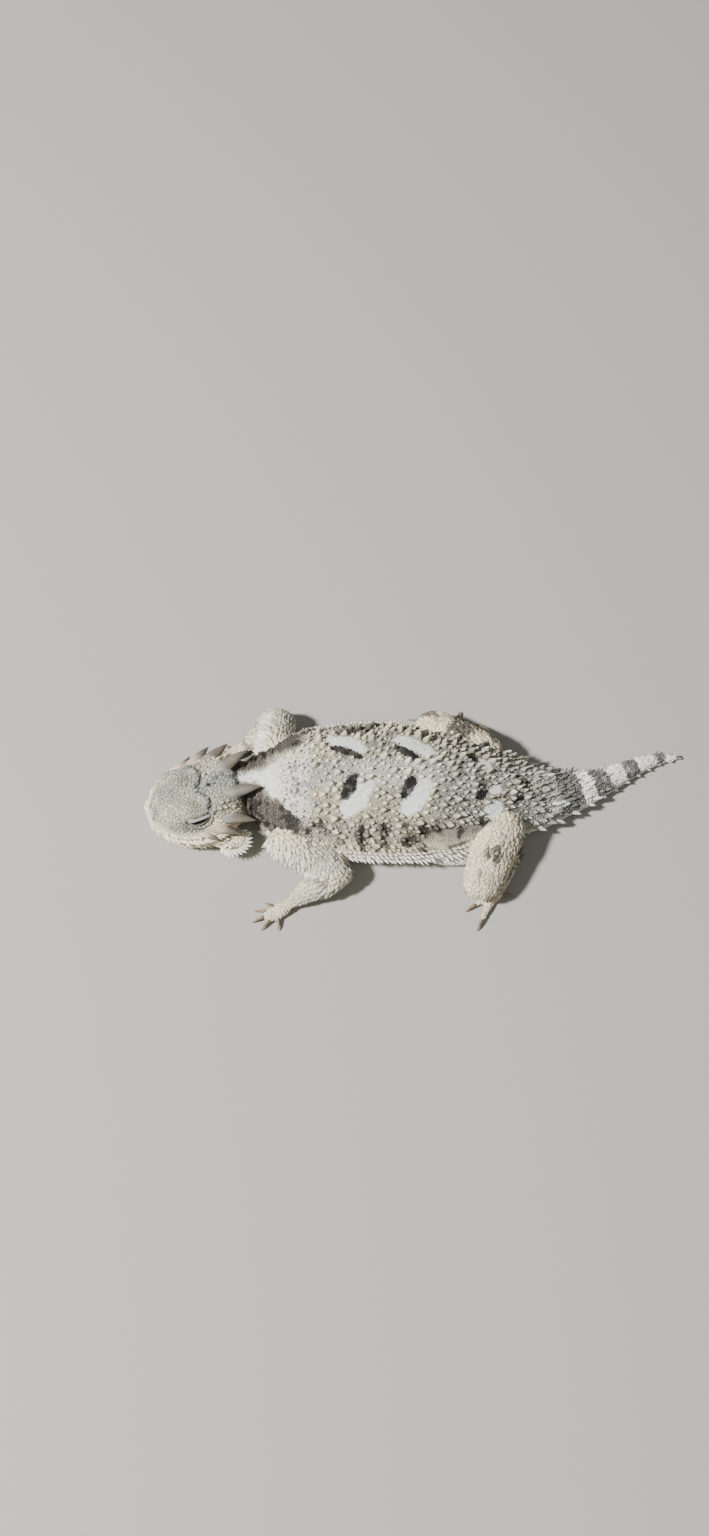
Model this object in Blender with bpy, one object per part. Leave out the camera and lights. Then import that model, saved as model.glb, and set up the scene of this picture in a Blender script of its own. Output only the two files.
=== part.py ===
"""Desert horned lizard, life size, lying on its belly with its legs drawn up and its head turned left.

The head points along -X, the animal's left side faces -Y, and +Z is up. The origin is on the flat of
the belly, at mid body. Lengths in the tables are millimetres, and meshes are made in metres.
"""

import math
import random

import bmesh
import bpy
from mathutils import Vector
from mathutils.bvhtree import BVHTree

MM = 0.001
GAP = 0.3  # between two nodes that touch
MERGES = (0.000008, 0.000005, 0.000003, 0.0)  # in metres: the first that leaves a closed surface is used
LEFT, RIGHT = -1, 1
SIDES = {LEFT: "left", RIGHT: "right"}

# Snout to vent is 85 mm and the tail 37 mm. Each row is a station along the spine:
# x, y, half width at the rim, height of the back, of the rim, half width of the belly, height below.
TRUNK = (
    (-40.3, 0.5, 6.3, 11.4, 6.6, 3.2, 3.2),
    (-37.3, 0.8, 6.5, 11.4, 6.2, 3.6, 2.4),
    (-34.0, 0.7, 8.8, 12.3, 6.0, 5.0, 1.0),
    (-30.0, 0.4, 12.0, 13.8, 5.8, 7.0, 0.0),
    (-24.0, 0.1, 14.5, 15.0, 5.6, 9.2, 0.0),
    (-15.0, 0.0, 15.9, 16.0, 5.4, 11.2, 0.0),
    (-4.0, 0.0, 16.3, 16.2, 5.2, 12.0, 0.0),
    (6.0, -0.1, 15.2, 15.4, 5.0, 11.2, 0.0),
    (14.0, -0.2, 12.4, 13.4, 4.8, 8.6, 0.0),
    (20.0, -0.4, 9.9, 11.4, 4.4, 6.6, 0.0),
    (25.0, -0.5, 8.2, 9.4, 3.8, 5.0, 0.0),
    (30.0, 0.1, 6.3, 7.6, 3.2, 3.8, 0.0),
    (34.0, 1.0, 4.9, 6.3, 2.8, 2.9, 0.0),
    (39.3, 3.0, 3.7, 5.1, 2.3, 2.1, 0.0),
    (44.0, 5.2, 2.8, 4.1, 1.9, 1.6, 0.0),
    (50.0, 8.4, 1.9, 3.0, 1.4, 1.1, 0.0),
    (55.5, 10.3, 1.25, 2.1, 1.0, 0.7, 0.0),
    (60.4, 10.9, 0.35, 0.8, 0.45, 0.25, 0.0),
)
BACK_FALL = 1.15  # above 1 the back falls straighter to a sharper rim
BACK_STEPS, BELLY_STEPS = 8, 4
TORSO_SPAN = (-34.0, 25.0)
TAIL_SPANS = {
    "tail_base": (25.0, 36.5),
    "tail_middle": (36.5, 48.0),
    "tail_tip": (48.0, 60.4),
}
TORSO_STEP, TAIL_STEP = 2.4, 1.9
# The drawn-up right leg presses the flank in: centre and half length along x, and depth.
DENT_AT, DENT_REACH, DENT_DEPTH = 6.0, 11.0, 2.2

# The head has its own frame: a runs back from the snout tip, b to the animal's right.
SNOUT = (-58.7, -6.6)
HEAD_YAW = math.radians(20)
HEAD_END = 20.2
# a, crown height, brow half width, brow height, cheek half width, cheek height,
# lip half width, lip height, jaw half width, jaw height.
SKULL = (
    (0.0, 6.6, 1.1, 6.4, 1.6, 5.8, 1.9, 4.9, 1.3, 4.0),
    (0.7, 7.8, 2.1, 7.5, 3.0, 6.5, 3.5, 4.8, 2.7, 3.2),
    (2.0, 9.2, 3.3, 9.0, 4.6, 7.1, 5.3, 4.7, 4.3, 2.6),
    (4.0, 10.6, 4.6, 10.7, 6.1, 7.5, 7.1, 4.6, 6.0, 2.3),
    (6.5, 11.5, 5.7, 11.9, 7.4, 7.7, 8.7, 4.7, 7.6, 2.1),
    (9.2, 11.9, 6.1, 12.4, 8.0, 7.8, 9.6, 4.9, 8.5, 2.0),
    (12.0, 12.1, 6.0, 12.5, 8.5, 8.0, 9.9, 5.2, 8.8, 2.0),
    (15.0, 12.5, 5.8, 12.6, 8.6, 8.6, 9.5, 5.6, 8.2, 2.2),
    (17.6, 12.8, 5.4, 12.7, 7.9, 8.9, 8.6, 6.0, 7.2, 2.5),
    (20.2, 12.7, 4.7, 12.4, 6.4, 9.0, 7.2, 6.4, 6.0, 3.0),
)
DOME = {"a": 8.4, "b": 3.5, "z": 8.6}  # the swelling over each eye
DOME_RADII = (5.2, 3.9, 4.1)
EYE_RADIUS = 2.4
EYE_SEAT = {"a": 9.9, "b": 4.5, "z": 8.9}
EYE_TILT = math.radians(35)  # the slit faces this far above level
SLIT = (2.3, 0.5, 1.8)  # half length, half opening and half depth
SLIT_OUT = 3.3  # from the eye's centre to the slit's
NOSTRIL = {"a": 0.7, "b": 1.6, "z": 7.5}
NOSTRIL_RADIUS = 0.5
# The fold of skin behind each corner of the mouth carries long spines. It is stretched flat on the
# right, which the head turns away from.
FOLD = {
    LEFT: {"a": 15.6, "b": 10.2, "z": 3.75},
    RIGHT: {"a": 15.4, "b": 7.9, "z": 3.75},
}
FOLD_RADII = {LEFT: (3.5, 3.0, 1.15), RIGHT: (3.5, 2.4, 1.15)}
FOLD_SPINE_SCALE = {LEFT: 1.0, RIGHT: 0.75}

# Horns on each side: root and tip as a, b, z in the head's frame, half width, half thickness.
HORNS = {
    "horn_occipital": ((17.4, 2.9, 11.4), (24.8, 4.7, 13.4), 1.85, 1.35),
    "horn_temporal_1": ((15.7, 6.9, 9.0), (21.7, 9.9, 8.7), 1.7, 1.2),
    "horn_temporal_2": ((12.7, 7.9, 7.9), (17.7, 11.3, 7.4), 1.45, 1.05),
    "horn_temporal_3": ((9.8, 7.9, 6.9), (13.2, 11.0, 6.2), 1.05, 0.85),
}
HORN_PROFILE = ((0.0, 1.0), (0.45, 0.72), (0.78, 0.36), (1.0, 0.04))

# Joint centres, and half width and half thickness at the thick of each limb segment.
SHOULDER = {LEFT: (-30.6, -11.4, 6.4), RIGHT: (-31.8, 7.4, 7.4)}
ELBOW = {LEFT: (-17.3, -19.1, 4.9), RIGHT: (-30.1, 18.0, 4.6)}
WRIST = {LEFT: (-26.6, -24.6, 2.2), RIGHT: (-37.6, 13.2, 1.9)}
HIP = {LEFT: (20.0, -6.6, 6.8), RIGHT: (17.6, 7.0, 6.2)}
KNEE = {LEFT: (13.9, -22.0, 5.0), RIGHT: (3.6, 16.2, 4.8)}
ANKLE = {LEFT: (22.4, -13.4, 2.6), RIGHT: (16.0, 15.6, 2.4)}
UPPER_ARM_SIZE, FOREARM_SIZE = (3.9, 3.6), (3.5, 3.0)
THIGH_SIZE, SHIN_SIZE = (4.9, 3.7), (2.8, 2.1)
# Share of the length, and share of the half width.
UPPER_PROFILE = (
    (-0.05, 0.6),
    (0.08, 0.92),
    (0.35, 1.02),
    (0.65, 0.98),
    (0.9, 0.94),
    (1.08, 0.78),
    (1.2, 0.4),
)
LOWER_PROFILE = (
    (-0.16, 0.46),
    (-0.04, 0.86),
    (0.14, 1.04),
    (0.4, 0.95),
    (0.7, 0.72),
    (0.92, 0.58),
    (1.04, 0.4),
)
LIMB_SIDES = 10

# Knuckles, where the toes fan out, and each toe's tip with its claw, from the inner toe outward.
KNUCKLES_FRONT = {LEFT: (-30.2, -26.7, 1.0), RIGHT: (-40.6, 11.6, 1.0)}
KNUCKLES_HIND = {LEFT: (17.0, -22.4, 1.0), RIGHT: (8.6, 18.4, 1.0)}
FRONT_TOES = {
    LEFT: ((-33.2, -24.4), (-35.5, -26.5), (-35.8, -29.1), (-33.9, -31.0), (-30.0, -31.1)),
    RIGHT: ((-41.6, 7.6), (-44.4, 8.0), (-45.6, 9.8), (-45.2, 11.9), (-42.8, 14.0)),
}
HIND_TOES = {
    LEFT: ((12.6, -18.8), (10.2, -22.0), (10.4, -26.6), (12.9, -31.1), (21.2, -22.9)),
    RIGHT: ((4.0, 15.6), (0.6, 16.6), (-1.4, 18.2), (-1.6, 20.4), (10.6, 22.6)),
}
TOE_RADIUS, CLAW_LENGTH = 0.85, 1.9
PALM_HALF = (1.9, 1.2)
PALM_PROFILE = ((0.0, 0.6), (0.5, 0.9), (1.0, 1.0), (1.25, 0.6))
TOE_PROFILE = ((0.0, 0.95), (0.5, 1.0), (1.0, 0.55))
CLAW_PROFILE = ((0.0, 0.55), (1.0, 0.06))
TOE_SIDES, CLAW_SIDES = 6, 4

# Spines grow in rows. Each is a pyramid sunk into the skin and leaning toward the tail.
# Length, half width and half thickness where it leaves the skin.
BACK_SPINE = (1.25, 0.85, 0.65)
FRINGE_SPINE = (1.5, 0.62, 0.42)
TAIL_SPINE = (1.3, 0.62, 0.45)
JAW_SPINE = (1.4, 0.65, 0.42)
JAW_LIFT = 0.45
THROAT_SPINE = (2.2, 0.6, 0.38)
BROW_SPINE = (0.7, 0.6, 0.4)
ARM_SPINE = (1.7, 0.65, 0.42)
LEG_SPINE = (1.1, 0.6, 0.4)
ARM_FRONT = {LEFT: (-0.54, -0.84, 0.0), RIGHT: (-1.0, 0.15, 0.0)}
BACK_ROWS = (10, 30, 49, 67)  # degrees from the midline to each side
TAIL_ROWS = (22, 55)
BACK_SPACING, FRINGE_SPACING, TAIL_SPACING = 4.0, 2.1, 2.2
BACK_LEAN, FRINGE_LEAN, LIMB_LEAN = 0.55, 0.3, 0.5
SINK = 0.7  # how deep a root goes, or less where the form is thin
CLEAR = 0.35  # a spine that comes closer than this to another node is left out
SPINE_SHARES = (0.1, 0.4, 0.7, 1.0)  # where along a spine the clearance is measured
SEED = 11

COLOURS = {  # a node's base colour and roughness, by how its name starts
    "horn": ((0.50, 0.42, 0.35, 1.0), 0.55),
    "eye": ((0.02, 0.018, 0.015, 1.0), 0.08),
    "head": ((0.55, 0.52, 0.46, 1.0), 0.8),
    "jaw": ((0.74, 0.69, 0.58, 1.0), 0.8),
    "neck": ((0.36, 0.33, 0.30, 1.0), 0.9),
    "hand": ((0.74, 0.64, 0.52, 1.0), 0.75),
    "foot": ((0.74, 0.64, 0.52, 1.0), 0.75),
    "thigh": ((0.66, 0.62, 0.53, 1.0), 0.8),
    "": ((0.60, 0.58, 0.53, 1.0), 0.85),
}


def clear_scene():
    """Starts from an empty file, so that the script can be run again."""
    for obj in list(bpy.data.objects):
        bpy.data.objects.remove(obj, do_unlink=True)


def make_material(node):
    colour, roughness = next(COLOURS[start] for start in COLOURS if node.startswith(start))
    material = bpy.data.materials.new(node)
    material.use_nodes = True
    shader = material.node_tree.nodes["Principled BSDF"]
    shader.inputs["Base Color"].default_value = colour
    shader.inputs["Roughness"].default_value = roughness
    material.diffuse_color = colour
    return material


def sample(table, at):
    """Every column of a table at this place, on a smooth curve that never overshoots its rows."""
    at = min(max(at, table[0][0]), table[-1][0])
    i = next(k for k in range(len(table) - 1) if at <= table[k + 1][0])
    low, high = table[i], table[i + 1]
    span = high[0] - low[0]
    t = (at - low[0]) / span
    found = []
    for column in range(1, len(low)):
        rise = (high[column] - low[column]) / span
        before = after = rise
        if i > 0:
            before = shared_slope(rise, table[i - 1], low, column)
        if i + 2 < len(table):
            after = shared_slope(rise, high, table[i + 2], column)
        value = low[column] * (1 + 2 * t) * (1 - t) ** 2 + high[column] * t * t * (3 - 2 * t)
        found.append(value + span * (before * t * (1 - t) ** 2 - after * t * t * (1 - t)))
    return found


def shared_slope(rise, first, second, column):
    """The slope where two stretches meet, level where one rises and the other falls."""
    other = (second[column] - first[column]) / (second[0] - first[0])
    if rise * other <= 0:
        return 0.0
    return 2 * rise * other / (rise + other)


def steps(start, end, longest):
    """Places from start to end, evenly spaced and no further apart than longest."""
    count = max(1, math.ceil(abs(end - start) / longest))
    return [start + (end - start) * k / count for k in range(count + 1)]


def spine_heading(x):
    """The angle of the spine about +Z at x."""
    reach = 0.5
    behind = sample(TRUNK, x - reach)[0]
    ahead = sample(TRUNK, x + reach)[0]
    return math.atan2(ahead - behind, 2 * reach)


def flank_dent(x, lateral):
    """How far the right flank is pressed in by the leg beside it."""
    if lateral <= 0:
        return 0.0
    away = abs(x - DENT_AT) / DENT_REACH
    return DENT_DEPTH * max(0.0, 1 - away * away) ** 2


def trunk_ring(x, grow=0.0, heading=None, centre=None):
    """The outline of neck, torso or tail at x, from the left rim over the back and round the belly."""
    y, width, back, rim, belly, floor = sample(TRUNK, x)
    heading = spine_heading(x) if heading is None else heading
    centre = Vector((x, y, 0)) if centre is None else centre
    across = Vector((-math.sin(heading), math.cos(heading), 0))
    outline = []
    for k in range(-BACK_STEPS, BACK_STEPS + 1):
        angle = math.pi / 2 * k / BACK_STEPS
        rise = max(0.0, math.cos(angle)) ** BACK_FALL
        outline.append(((width + grow) * math.sin(angle), rim + (back + grow - rim) * rise))
    under = []
    for k in range(1, BELLY_STEPS + 1):
        angle = math.pi / 2 * k / BELLY_STEPS
        lateral = belly + (width + grow - belly) * math.cos(angle)
        under.append((lateral, rim - (rim - floor + grow) * math.sin(angle)))
    outline += under
    outline += [(-lateral, z) for lateral, z in reversed(under)]
    points = []
    for lateral, z in outline:
        share = abs(lateral) / width
        lateral -= flank_dent(x, lateral) * share * share
        points.append(centre + across * lateral + Vector((0, 0, z)))
    return points


def head_point(a, b, z):
    """A point of the head's frame in the animal's."""
    back = Vector((math.cos(HEAD_YAW), math.sin(HEAD_YAW), 0))
    right = Vector((-math.sin(HEAD_YAW), math.cos(HEAD_YAW), 0))
    return Vector((*SNOUT, 0)) + back * a + right * b + Vector((0, 0, z))


def skull_ring(a, grow=0.0):
    """The outline of head and jaw together at a."""
    crown, brow, brow_z, cheek, cheek_z, lip, lip_z, jaw, jaw_z = sample(SKULL, a)
    half = [
        (brow * 0.5, crown + (brow_z - crown) * 0.3),
        (brow * 0.88, brow_z),
        (brow, brow_z - 0.7),
        (cheek, cheek_z),
        (lip - 0.3, lip_z + 1.0),
        (lip, lip_z),
        (lip - 0.2, lip_z - 0.9),
        (jaw, jaw_z + 0.6),
        (jaw * 0.6, jaw_z),
    ]
    outline = [(0.0, crown), *half, (0.0, jaw_z), *[(-b, z) for b, z in reversed(half)]]
    middle = (crown + jaw_z) / 2
    points = []
    for b, z in outline:
        out = Vector((b, z - middle))
        out += out.normalized() * grow
        points.append(head_point(a, out.x, out.y + middle))
    return points


def new_object(name, bm):
    """Puts a finished bmesh into the scene, its faces turned outward."""
    bmesh.ops.recalc_face_normals(bm, faces=bm.faces)
    if bm.calc_volume(signed=True) < 0:
        bmesh.ops.reverse_faces(bm, faces=bm.faces)
    mesh = bpy.data.meshes.new(name)
    bm.to_mesh(mesh)
    bm.free()
    obj = bpy.data.objects.new(name, mesh)
    bpy.context.scene.collection.objects.link(obj)
    return obj


def loft(name, rings):
    """A closed body over rings of points, with a flat cap at each end."""
    bm = bmesh.new()
    rows = [[bm.verts.new(point * MM) for point in ring] for ring in rings]
    for row, following in zip(rows, rows[1:]):
        for i in range(len(row)):
            j = (i + 1) % len(row)
            bm.faces.new((row[i], row[j], following[j], following[i]))
    bm.faces.new(reversed(rows[0]))
    bm.faces.new(rows[-1])
    bmesh.ops.triangulate(bm, faces=bm.faces)
    return new_object(name, bm)


def spindle_rings(start, end, profile, half, sides, grow=0.0, bow=Vector()):
    """Rings along a straight or bowed line. A profile row is a share of the length and of the size."""
    start, end = Vector(start), Vector(end)
    along = (end - start).normalized()
    side = along.cross(Vector((0, 0, 1))).normalized()
    up = side.cross(along)
    rings = []
    for share, size in profile:
        centre = start.lerp(end, share) + bow * (4 * share * (1 - share))
        if share in (profile[0][0], profile[-1][0]) and grow:
            centre += along * (grow if share > 0.5 else -grow)
        wide, thick = half[0] * size + grow, half[1] * size + grow
        turns = [2 * math.pi * (k + 0.5) / sides for k in range(sides)]
        rings.append([centre + side * (wide * math.cos(t)) + up * (thick * math.sin(t)) for t in turns])
    return rings


def ball(name, centre, radii, segments=12, rows=8):
    """A closed ellipsoid, its radii along a, b and z of the head's frame."""
    bm = bmesh.new()
    bmesh.ops.create_uvsphere(bm, u_segments=segments, v_segments=rows, radius=1.0)
    for vert in bm.verts:
        vert.co = Vector(vert.co[i] * radii[i] for i in range(3))
        turned = head_point(*vert.co) - head_point(0, 0, 0)
        vert.co = (centre + turned) * MM
    bmesh.ops.triangulate(bm, faces=bm.faces)
    return new_object(name, bm)


def box(name, low, high):
    """A closed box between two corners."""
    bm = bmesh.new()
    bmesh.ops.create_cube(bm, size=1.0)
    for vert in bm.verts:
        vert.co = Vector((low[i] if vert.co[i] < 0 else high[i]) * MM for i in range(3))
    return new_object(name, bm)


def boolean(target, pieces, operation, solver="MANIFOLD"):
    """Joins the pieces to the target, or cuts them from it, then removes them."""
    group = bpy.data.collections.new(target.name + "_pieces")
    bpy.context.scene.collection.children.link(group)
    for piece in pieces:
        bpy.context.scene.collection.objects.unlink(piece)
        group.objects.link(piece)
    modifier = target.modifiers.new("join_or_cut", "BOOLEAN")
    modifier.operation = operation
    modifier.operand_type = "COLLECTION"
    modifier.collection = group
    modifier.solver = solver
    evaluated = target.evaluated_get(bpy.context.evaluated_depsgraph_get())
    mesh = bpy.data.meshes.new_from_object(evaluated)
    target.modifiers.clear()
    target.data = mesh
    for piece in pieces:
        bpy.data.objects.remove(piece, do_unlink=True)
    bpy.data.collections.remove(group)


def keep_largest(target):
    """Leaves one closed surface: drops scraps that a cut has left and hollows that a join has sealed."""
    bm = cleaned(target.data)
    unseen = set(bm.verts)
    islands = []
    while unseen:
        island, edge = set(), [unseen.pop()]
        while edge:
            vert = edge.pop()
            island.add(vert)
            near = {link.other_vert(vert) for link in vert.link_edges} & unseen
            unseen -= near
            edge.extend(near)
        islands.append(island)
    islands.sort(key=island_size)
    bmesh.ops.delete(bm, geom=[v for island in islands[:-1] for v in island], context="VERTS")
    bm.to_mesh(target.data)
    bm.free()


def cleaned(mesh):
    """The mesh without the shortest edges and thinnest faces, as far as it stays closed."""
    for merge in MERGES:
        bm = bmesh.new()
        bm.from_mesh(mesh)
        bmesh.ops.remove_doubles(bm, verts=bm.verts, dist=merge)
        bmesh.ops.dissolve_degenerate(bm, edges=bm.edges, dist=merge)
        bmesh.ops.triangulate(bm, faces=bm.faces)
        if merge == 0.0 or all(edge.is_manifold for edge in bm.edges):
            return bm
        bm.free()


def island_size(island):
    """The volume of the box round a set of vertices."""
    spans = [max(v.co[i] for v in island) - min(v.co[i] for v in island) for i in range(3)]
    return spans[0] * spans[1] * spans[2]


def cut(target, cutters):
    boolean(target, cutters, "DIFFERENCE")
    keep_largest(target)


def floor_cutter():
    """All that lies under the floor, at z = 0."""
    return box("floor_cutter", (-90, -60, -20), (90, 60, 0))


def make_trunk_part(name, start, end, step):
    """A length of the torso or tail, with half the gap left at each end."""
    places = steps(start + GAP / 2, end - GAP / 2, step)
    return loft(name, [trunk_ring(x) for x in places])


def grown_trunk():
    """The trunk from neck to tail base enlarged by the gap, to cut the legs back to."""
    places = steps(TORSO_SPAN[0] - 1, TAIL_SPANS["tail_base"][1], TORSO_STEP)
    torso = loft("grown_torso", [trunk_ring(x, GAP) for x in places])
    return [torso, loft("grown_neck", neck_rings(GAP))]


def neck_rings(grow=0.0):
    """The neck turns from the head's heading into the torso's."""
    front = head_point(HEAD_END + GAP, 0, 0)
    rear_x = TORSO_SPAN[0] - GAP / 2
    rear = Vector((rear_x, sample(TRUNK, rear_x)[0], 0))
    rings = []
    for k in range(6):
        t = k / 5
        x = TRUNK[0][0] + (rear_x - TRUNK[0][0]) * t
        heading = HEAD_YAW * (1 - t) + spine_heading(rear_x) * t
        rings.append(trunk_ring(x, grow, heading, front.lerp(rear, t)))
    return rings


def on_head(place, side):
    """A place given by a, b and z, on this side of the head."""
    return head_point(place["a"], side * place["b"], place["z"])


def gaze(side):
    """The direction that the eye's opening faces."""
    level = head_point(0, side, 0) - head_point(0, 0, 0)
    return level * math.cos(EYE_TILT) + Vector((0, 0, math.sin(EYE_TILT)))


def slit_cutter(side):
    """A lens that opens the lids, long along the head and turned to face the gaze."""
    cutter = ball("slit", Vector(), SLIT, segments=12, rows=8)
    back = head_point(1, 0, 0) - head_point(0, 0, 0)
    out = gaze(side)
    across = out.cross(back)
    rest = Vector((back.x, back.y, 0)).cross(Vector((0, 0, 1)))
    place = on_head(EYE_SEAT, side) + out * SLIT_OUT
    for vert in cutter.data.vertices:
        local = vert.co / MM
        turned = back * local.dot(back) + across * local.dot(rest) + out * local.z
        vert.co = (place + turned) * MM
    return faced_out(cutter)


def faced_out(obj):
    """Turns every face outward after a mirroring move."""
    bm = bmesh.new()
    bm.from_mesh(obj.data)
    bmesh.ops.recalc_face_normals(bm, faces=bm.faces)
    bm.to_mesh(obj.data)
    bm.free()
    return obj


def mouth_cutter(above):
    """What lies above, or below, the mouth line, with half the gap."""
    offset = GAP / 2 if above else -GAP / 2
    rings = []
    for a in (-5, *[row[0] for row in SKULL], 30):
        lip_z = sample(SKULL, a)[6]
        near, far = lip_z - offset, 40 if above else -20
        rings.append([head_point(a, -30, near), head_point(a, 30, near), head_point(a, 30, far), head_point(a, -30, far)])
    return loft("mouth_cutter", rings)


def horn_rings(name, side, grow=0.0):
    root, tip, wide, thick = HORNS[name]
    start = head_point(root[0], side * root[1], root[2])
    end = head_point(tip[0], side * tip[1], tip[2])
    return spindle_rings(start, end, HORN_PROFILE, (wide, thick), 8, grow)


def make_head_parts():
    """Head, jaw, eyes and horns. Head and jaw are one skull, parted along the mouth."""
    skull_rings = [skull_ring(row[0]) for row in SKULL]
    head = loft("head", skull_rings)
    jaw = loft("jaw", skull_rings)
    folds = [ball("fold", on_head(FOLD[side], side), FOLD_RADII[side]) for side in SIDES]
    boolean(jaw, folds, "UNION")
    cut(jaw, [mouth_cutter(above=True)])
    cut(head, [mouth_cutter(above=False)])
    domes = [ball("dome", on_head(DOME, side), DOME_RADII) for side in SIDES]
    boolean(head, domes, "UNION")
    cutters = [mouth_cutter(above=False)]
    for side in SIDES:
        socket = EYE_RADIUS + GAP
        cutters.append(ball("socket", on_head(EYE_SEAT, side), (socket,) * 3))
        cutters.append(slit_cutter(side))
        cutters.append(ball("nostril", on_head(NOSTRIL, side), (NOSTRIL_RADIUS,) * 3, segments=8, rows=6))
        cutters += [loft("socket", horn_rings(name, side, GAP)) for name in HORNS]
    cut(head, cutters)
    cut(jaw, [loft("socket", horn_rings(name, side, GAP)) for name in HORNS for side in SIDES])
    for side, word in SIDES.items():
        ball("eye_" + word, on_head(EYE_SEAT, side), (EYE_RADIUS,) * 3)
        for name in HORNS:
            loft(f"{name}_{word}", horn_rings(name, side))


def limb_rings(start, end, profile, size, grow=0.0):
    return spindle_rings(start, end, profile, size, LIMB_SIDES, grow)


def make_foot(name, ankle, knuckles, tips):
    """A palm or sole with five toes and their claws, flat underneath."""
    palm = loft(name, spindle_rings(ankle, knuckles, PALM_PROFILE, PALM_HALF, 8))
    knuckles = Vector(knuckles)
    pieces = []
    for tip in tips:
        end = Vector((*tip, 0.75))
        reach = (end - knuckles).normalized()
        start = knuckles - reach * 0.6
        toe_end = end - reach * CLAW_LENGTH
        radii = (TOE_RADIUS, TOE_RADIUS)
        pieces.append(loft("toe", spindle_rings(start, toe_end, TOE_PROFILE, radii, TOE_SIDES)))
        claw_start = toe_end - reach * 0.8
        claw_tip = Vector((end.x, end.y, 0.25))
        pieces.append(loft("claw", spindle_rings(claw_start, claw_tip, CLAW_PROFILE, radii, CLAW_SIDES)))
    boolean(palm, pieces, "UNION")
    return palm


def make_limbs(side):
    """One side's arm and leg, each cut back to what it lies against."""
    word = SIDES[side]
    upper_arm = limb_rings(SHOULDER[side], ELBOW[side], UPPER_PROFILE, UPPER_ARM_SIZE)
    grown_arm = limb_rings(SHOULDER[side], ELBOW[side], UPPER_PROFILE, UPPER_ARM_SIZE, GAP)
    forearm = limb_rings(ELBOW[side], WRIST[side], LOWER_PROFILE, FOREARM_SIZE)
    grown_forearm = limb_rings(ELBOW[side], WRIST[side], LOWER_PROFILE, FOREARM_SIZE, GAP)
    thigh = limb_rings(HIP[side], KNEE[side], UPPER_PROFILE, THIGH_SIZE)
    grown_thigh = limb_rings(HIP[side], KNEE[side], UPPER_PROFILE, THIGH_SIZE, GAP)
    shin = limb_rings(KNEE[side], ANKLE[side], LOWER_PROFILE, SHIN_SIZE)
    grown_shin = limb_rings(KNEE[side], ANKLE[side], LOWER_PROFILE, SHIN_SIZE, GAP)
    made = {
        "upper_arm": (loft("upper_arm_" + word, upper_arm), []),
        "forearm": (loft("forearm_" + word, forearm), [grown_arm]),
        "thigh": (loft("thigh_" + word, thigh), []),
        "shin": (loft("shin_" + word, shin), [grown_thigh]),
    }
    hand = make_foot("hand_" + word, WRIST[side], KNUCKLES_FRONT[side], FRONT_TOES[side])
    made["hand"] = (hand, [grown_forearm, grown_arm])
    foot = make_foot("foot_" + word, ANKLE[side], KNUCKLES_HIND[side], HIND_TOES[side])
    made["foot"] = (foot, [grown_shin, grown_thigh])
    for obj, neighbours in made.values():
        cut(obj, [*grown_trunk(), floor_cutter(), *[loft("grown", rings) for rings in neighbours]])


def pyramid(root, normal, lean, size, sink):
    """A spine that leaves the skin at the root and leans over, with its base sunk below."""
    length, wide, thick = size
    axis = (normal + lean).normalized()
    side = normal.cross(lean).normalized()
    over = side.cross(axis)
    base = root - axis * sink
    spread = (length + sink) / length
    bm = bmesh.new()
    corners = [(1, 0), (0, 1), (-1, 0), (0, -1)]
    ring = [base + side * (wide * spread * u) + over * (thick * spread * v) for u, v in corners]
    low = [bm.verts.new(point * MM) for point in ring]
    tip = bm.verts.new((root + axis * length) * MM)
    for k in range(4):
        bm.faces.new((low[k], low[(k + 1) % 4], tip))
    bm.faces.new((low[0], low[1], low[2]))
    bm.faces.new((low[0], low[2], low[3]))
    return new_object("spine", bm)


def trunk_rows(start, end, turns, spacing, size, lean, rng):
    """Spines in rows along the trunk between two stations, at these angles from the midline."""
    found = []
    for row, turn in enumerate(turns):
        offset = (row % 2) * 0.5 + 0.5
        count = int((end - start) / spacing)
        for k in range(count):
            x = start + (k + offset) * spacing + rng.uniform(-0.12, 0.12) * spacing
            y, width, back, rim, belly, floor = sample(TRUNK, x)
            heading = spine_heading(x)
            along = Vector((math.cos(heading), math.sin(heading), 0))
            across = Vector((-math.sin(heading), math.cos(heading), 0))
            angle = math.radians(turn + rng.uniform(-2, 2) * (abs(turn) < 85))
            out = across * math.sin(angle) + Vector((0, 0, math.cos(angle)))
            grown = tuple(value * rng.uniform(0.85, 1.15) for value in size)
            found.append((Vector((x, y, rim)), out, along * lean, grown))
    return found


def both_sides(turns):
    return [side * turn for turn in turns for side in SIDES]


def limb_rows(start, end, outs, shares, size):
    """Spines along a limb segment, on the sides that face these directions."""
    start, end = Vector(start), Vector(end)
    along = (end - start).normalized()
    found = []
    for out in outs:
        out = Vector(out)
        out = (out - along * out.dot(along)).normalized()
        for share in shares:
            found.append((start.lerp(end, share), out, along * LIMB_LEAN, size))
    return found


def head_rows(places, side, size, lift=0.0):
    """Spines on the head or jaw. A place is a, then the origin's b and z, then the direction's b and z."""
    back = head_point(1, 0, 0) - head_point(0, 0, 0)
    lean = back * 0.4 + Vector((0, 0, lift))
    found = []
    for a, b, z, out_b, out_z, scale in places:
        out = head_point(0, side * out_b, out_z) - head_point(0, 0, 0)
        grown = tuple(value * scale for value in size)
        found.append((head_point(a, side * b, z), out.normalized(), lean, grown))
    return found


def fold_rows(side):
    """Long spines round the outer edge of the fold behind the mouth."""
    back = head_point(1, 0, 0) - head_point(0, 0, 0)
    right = head_point(0, side, 0) - head_point(0, 0, 0)
    found = []
    for turn in (-50, -22, 6, 34, 62, 88):
        out = right * math.cos(math.radians(turn)) + back * math.sin(math.radians(turn))
        lean = (back * 0.3 * math.cos(math.radians(turn))) + Vector((0, 0, -0.12))
        size = tuple(value * FOLD_SPINE_SCALE[side] for value in THROAT_SPINE)
        found.append((on_head(FOLD[side], side), out, lean, size))
    return found


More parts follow.
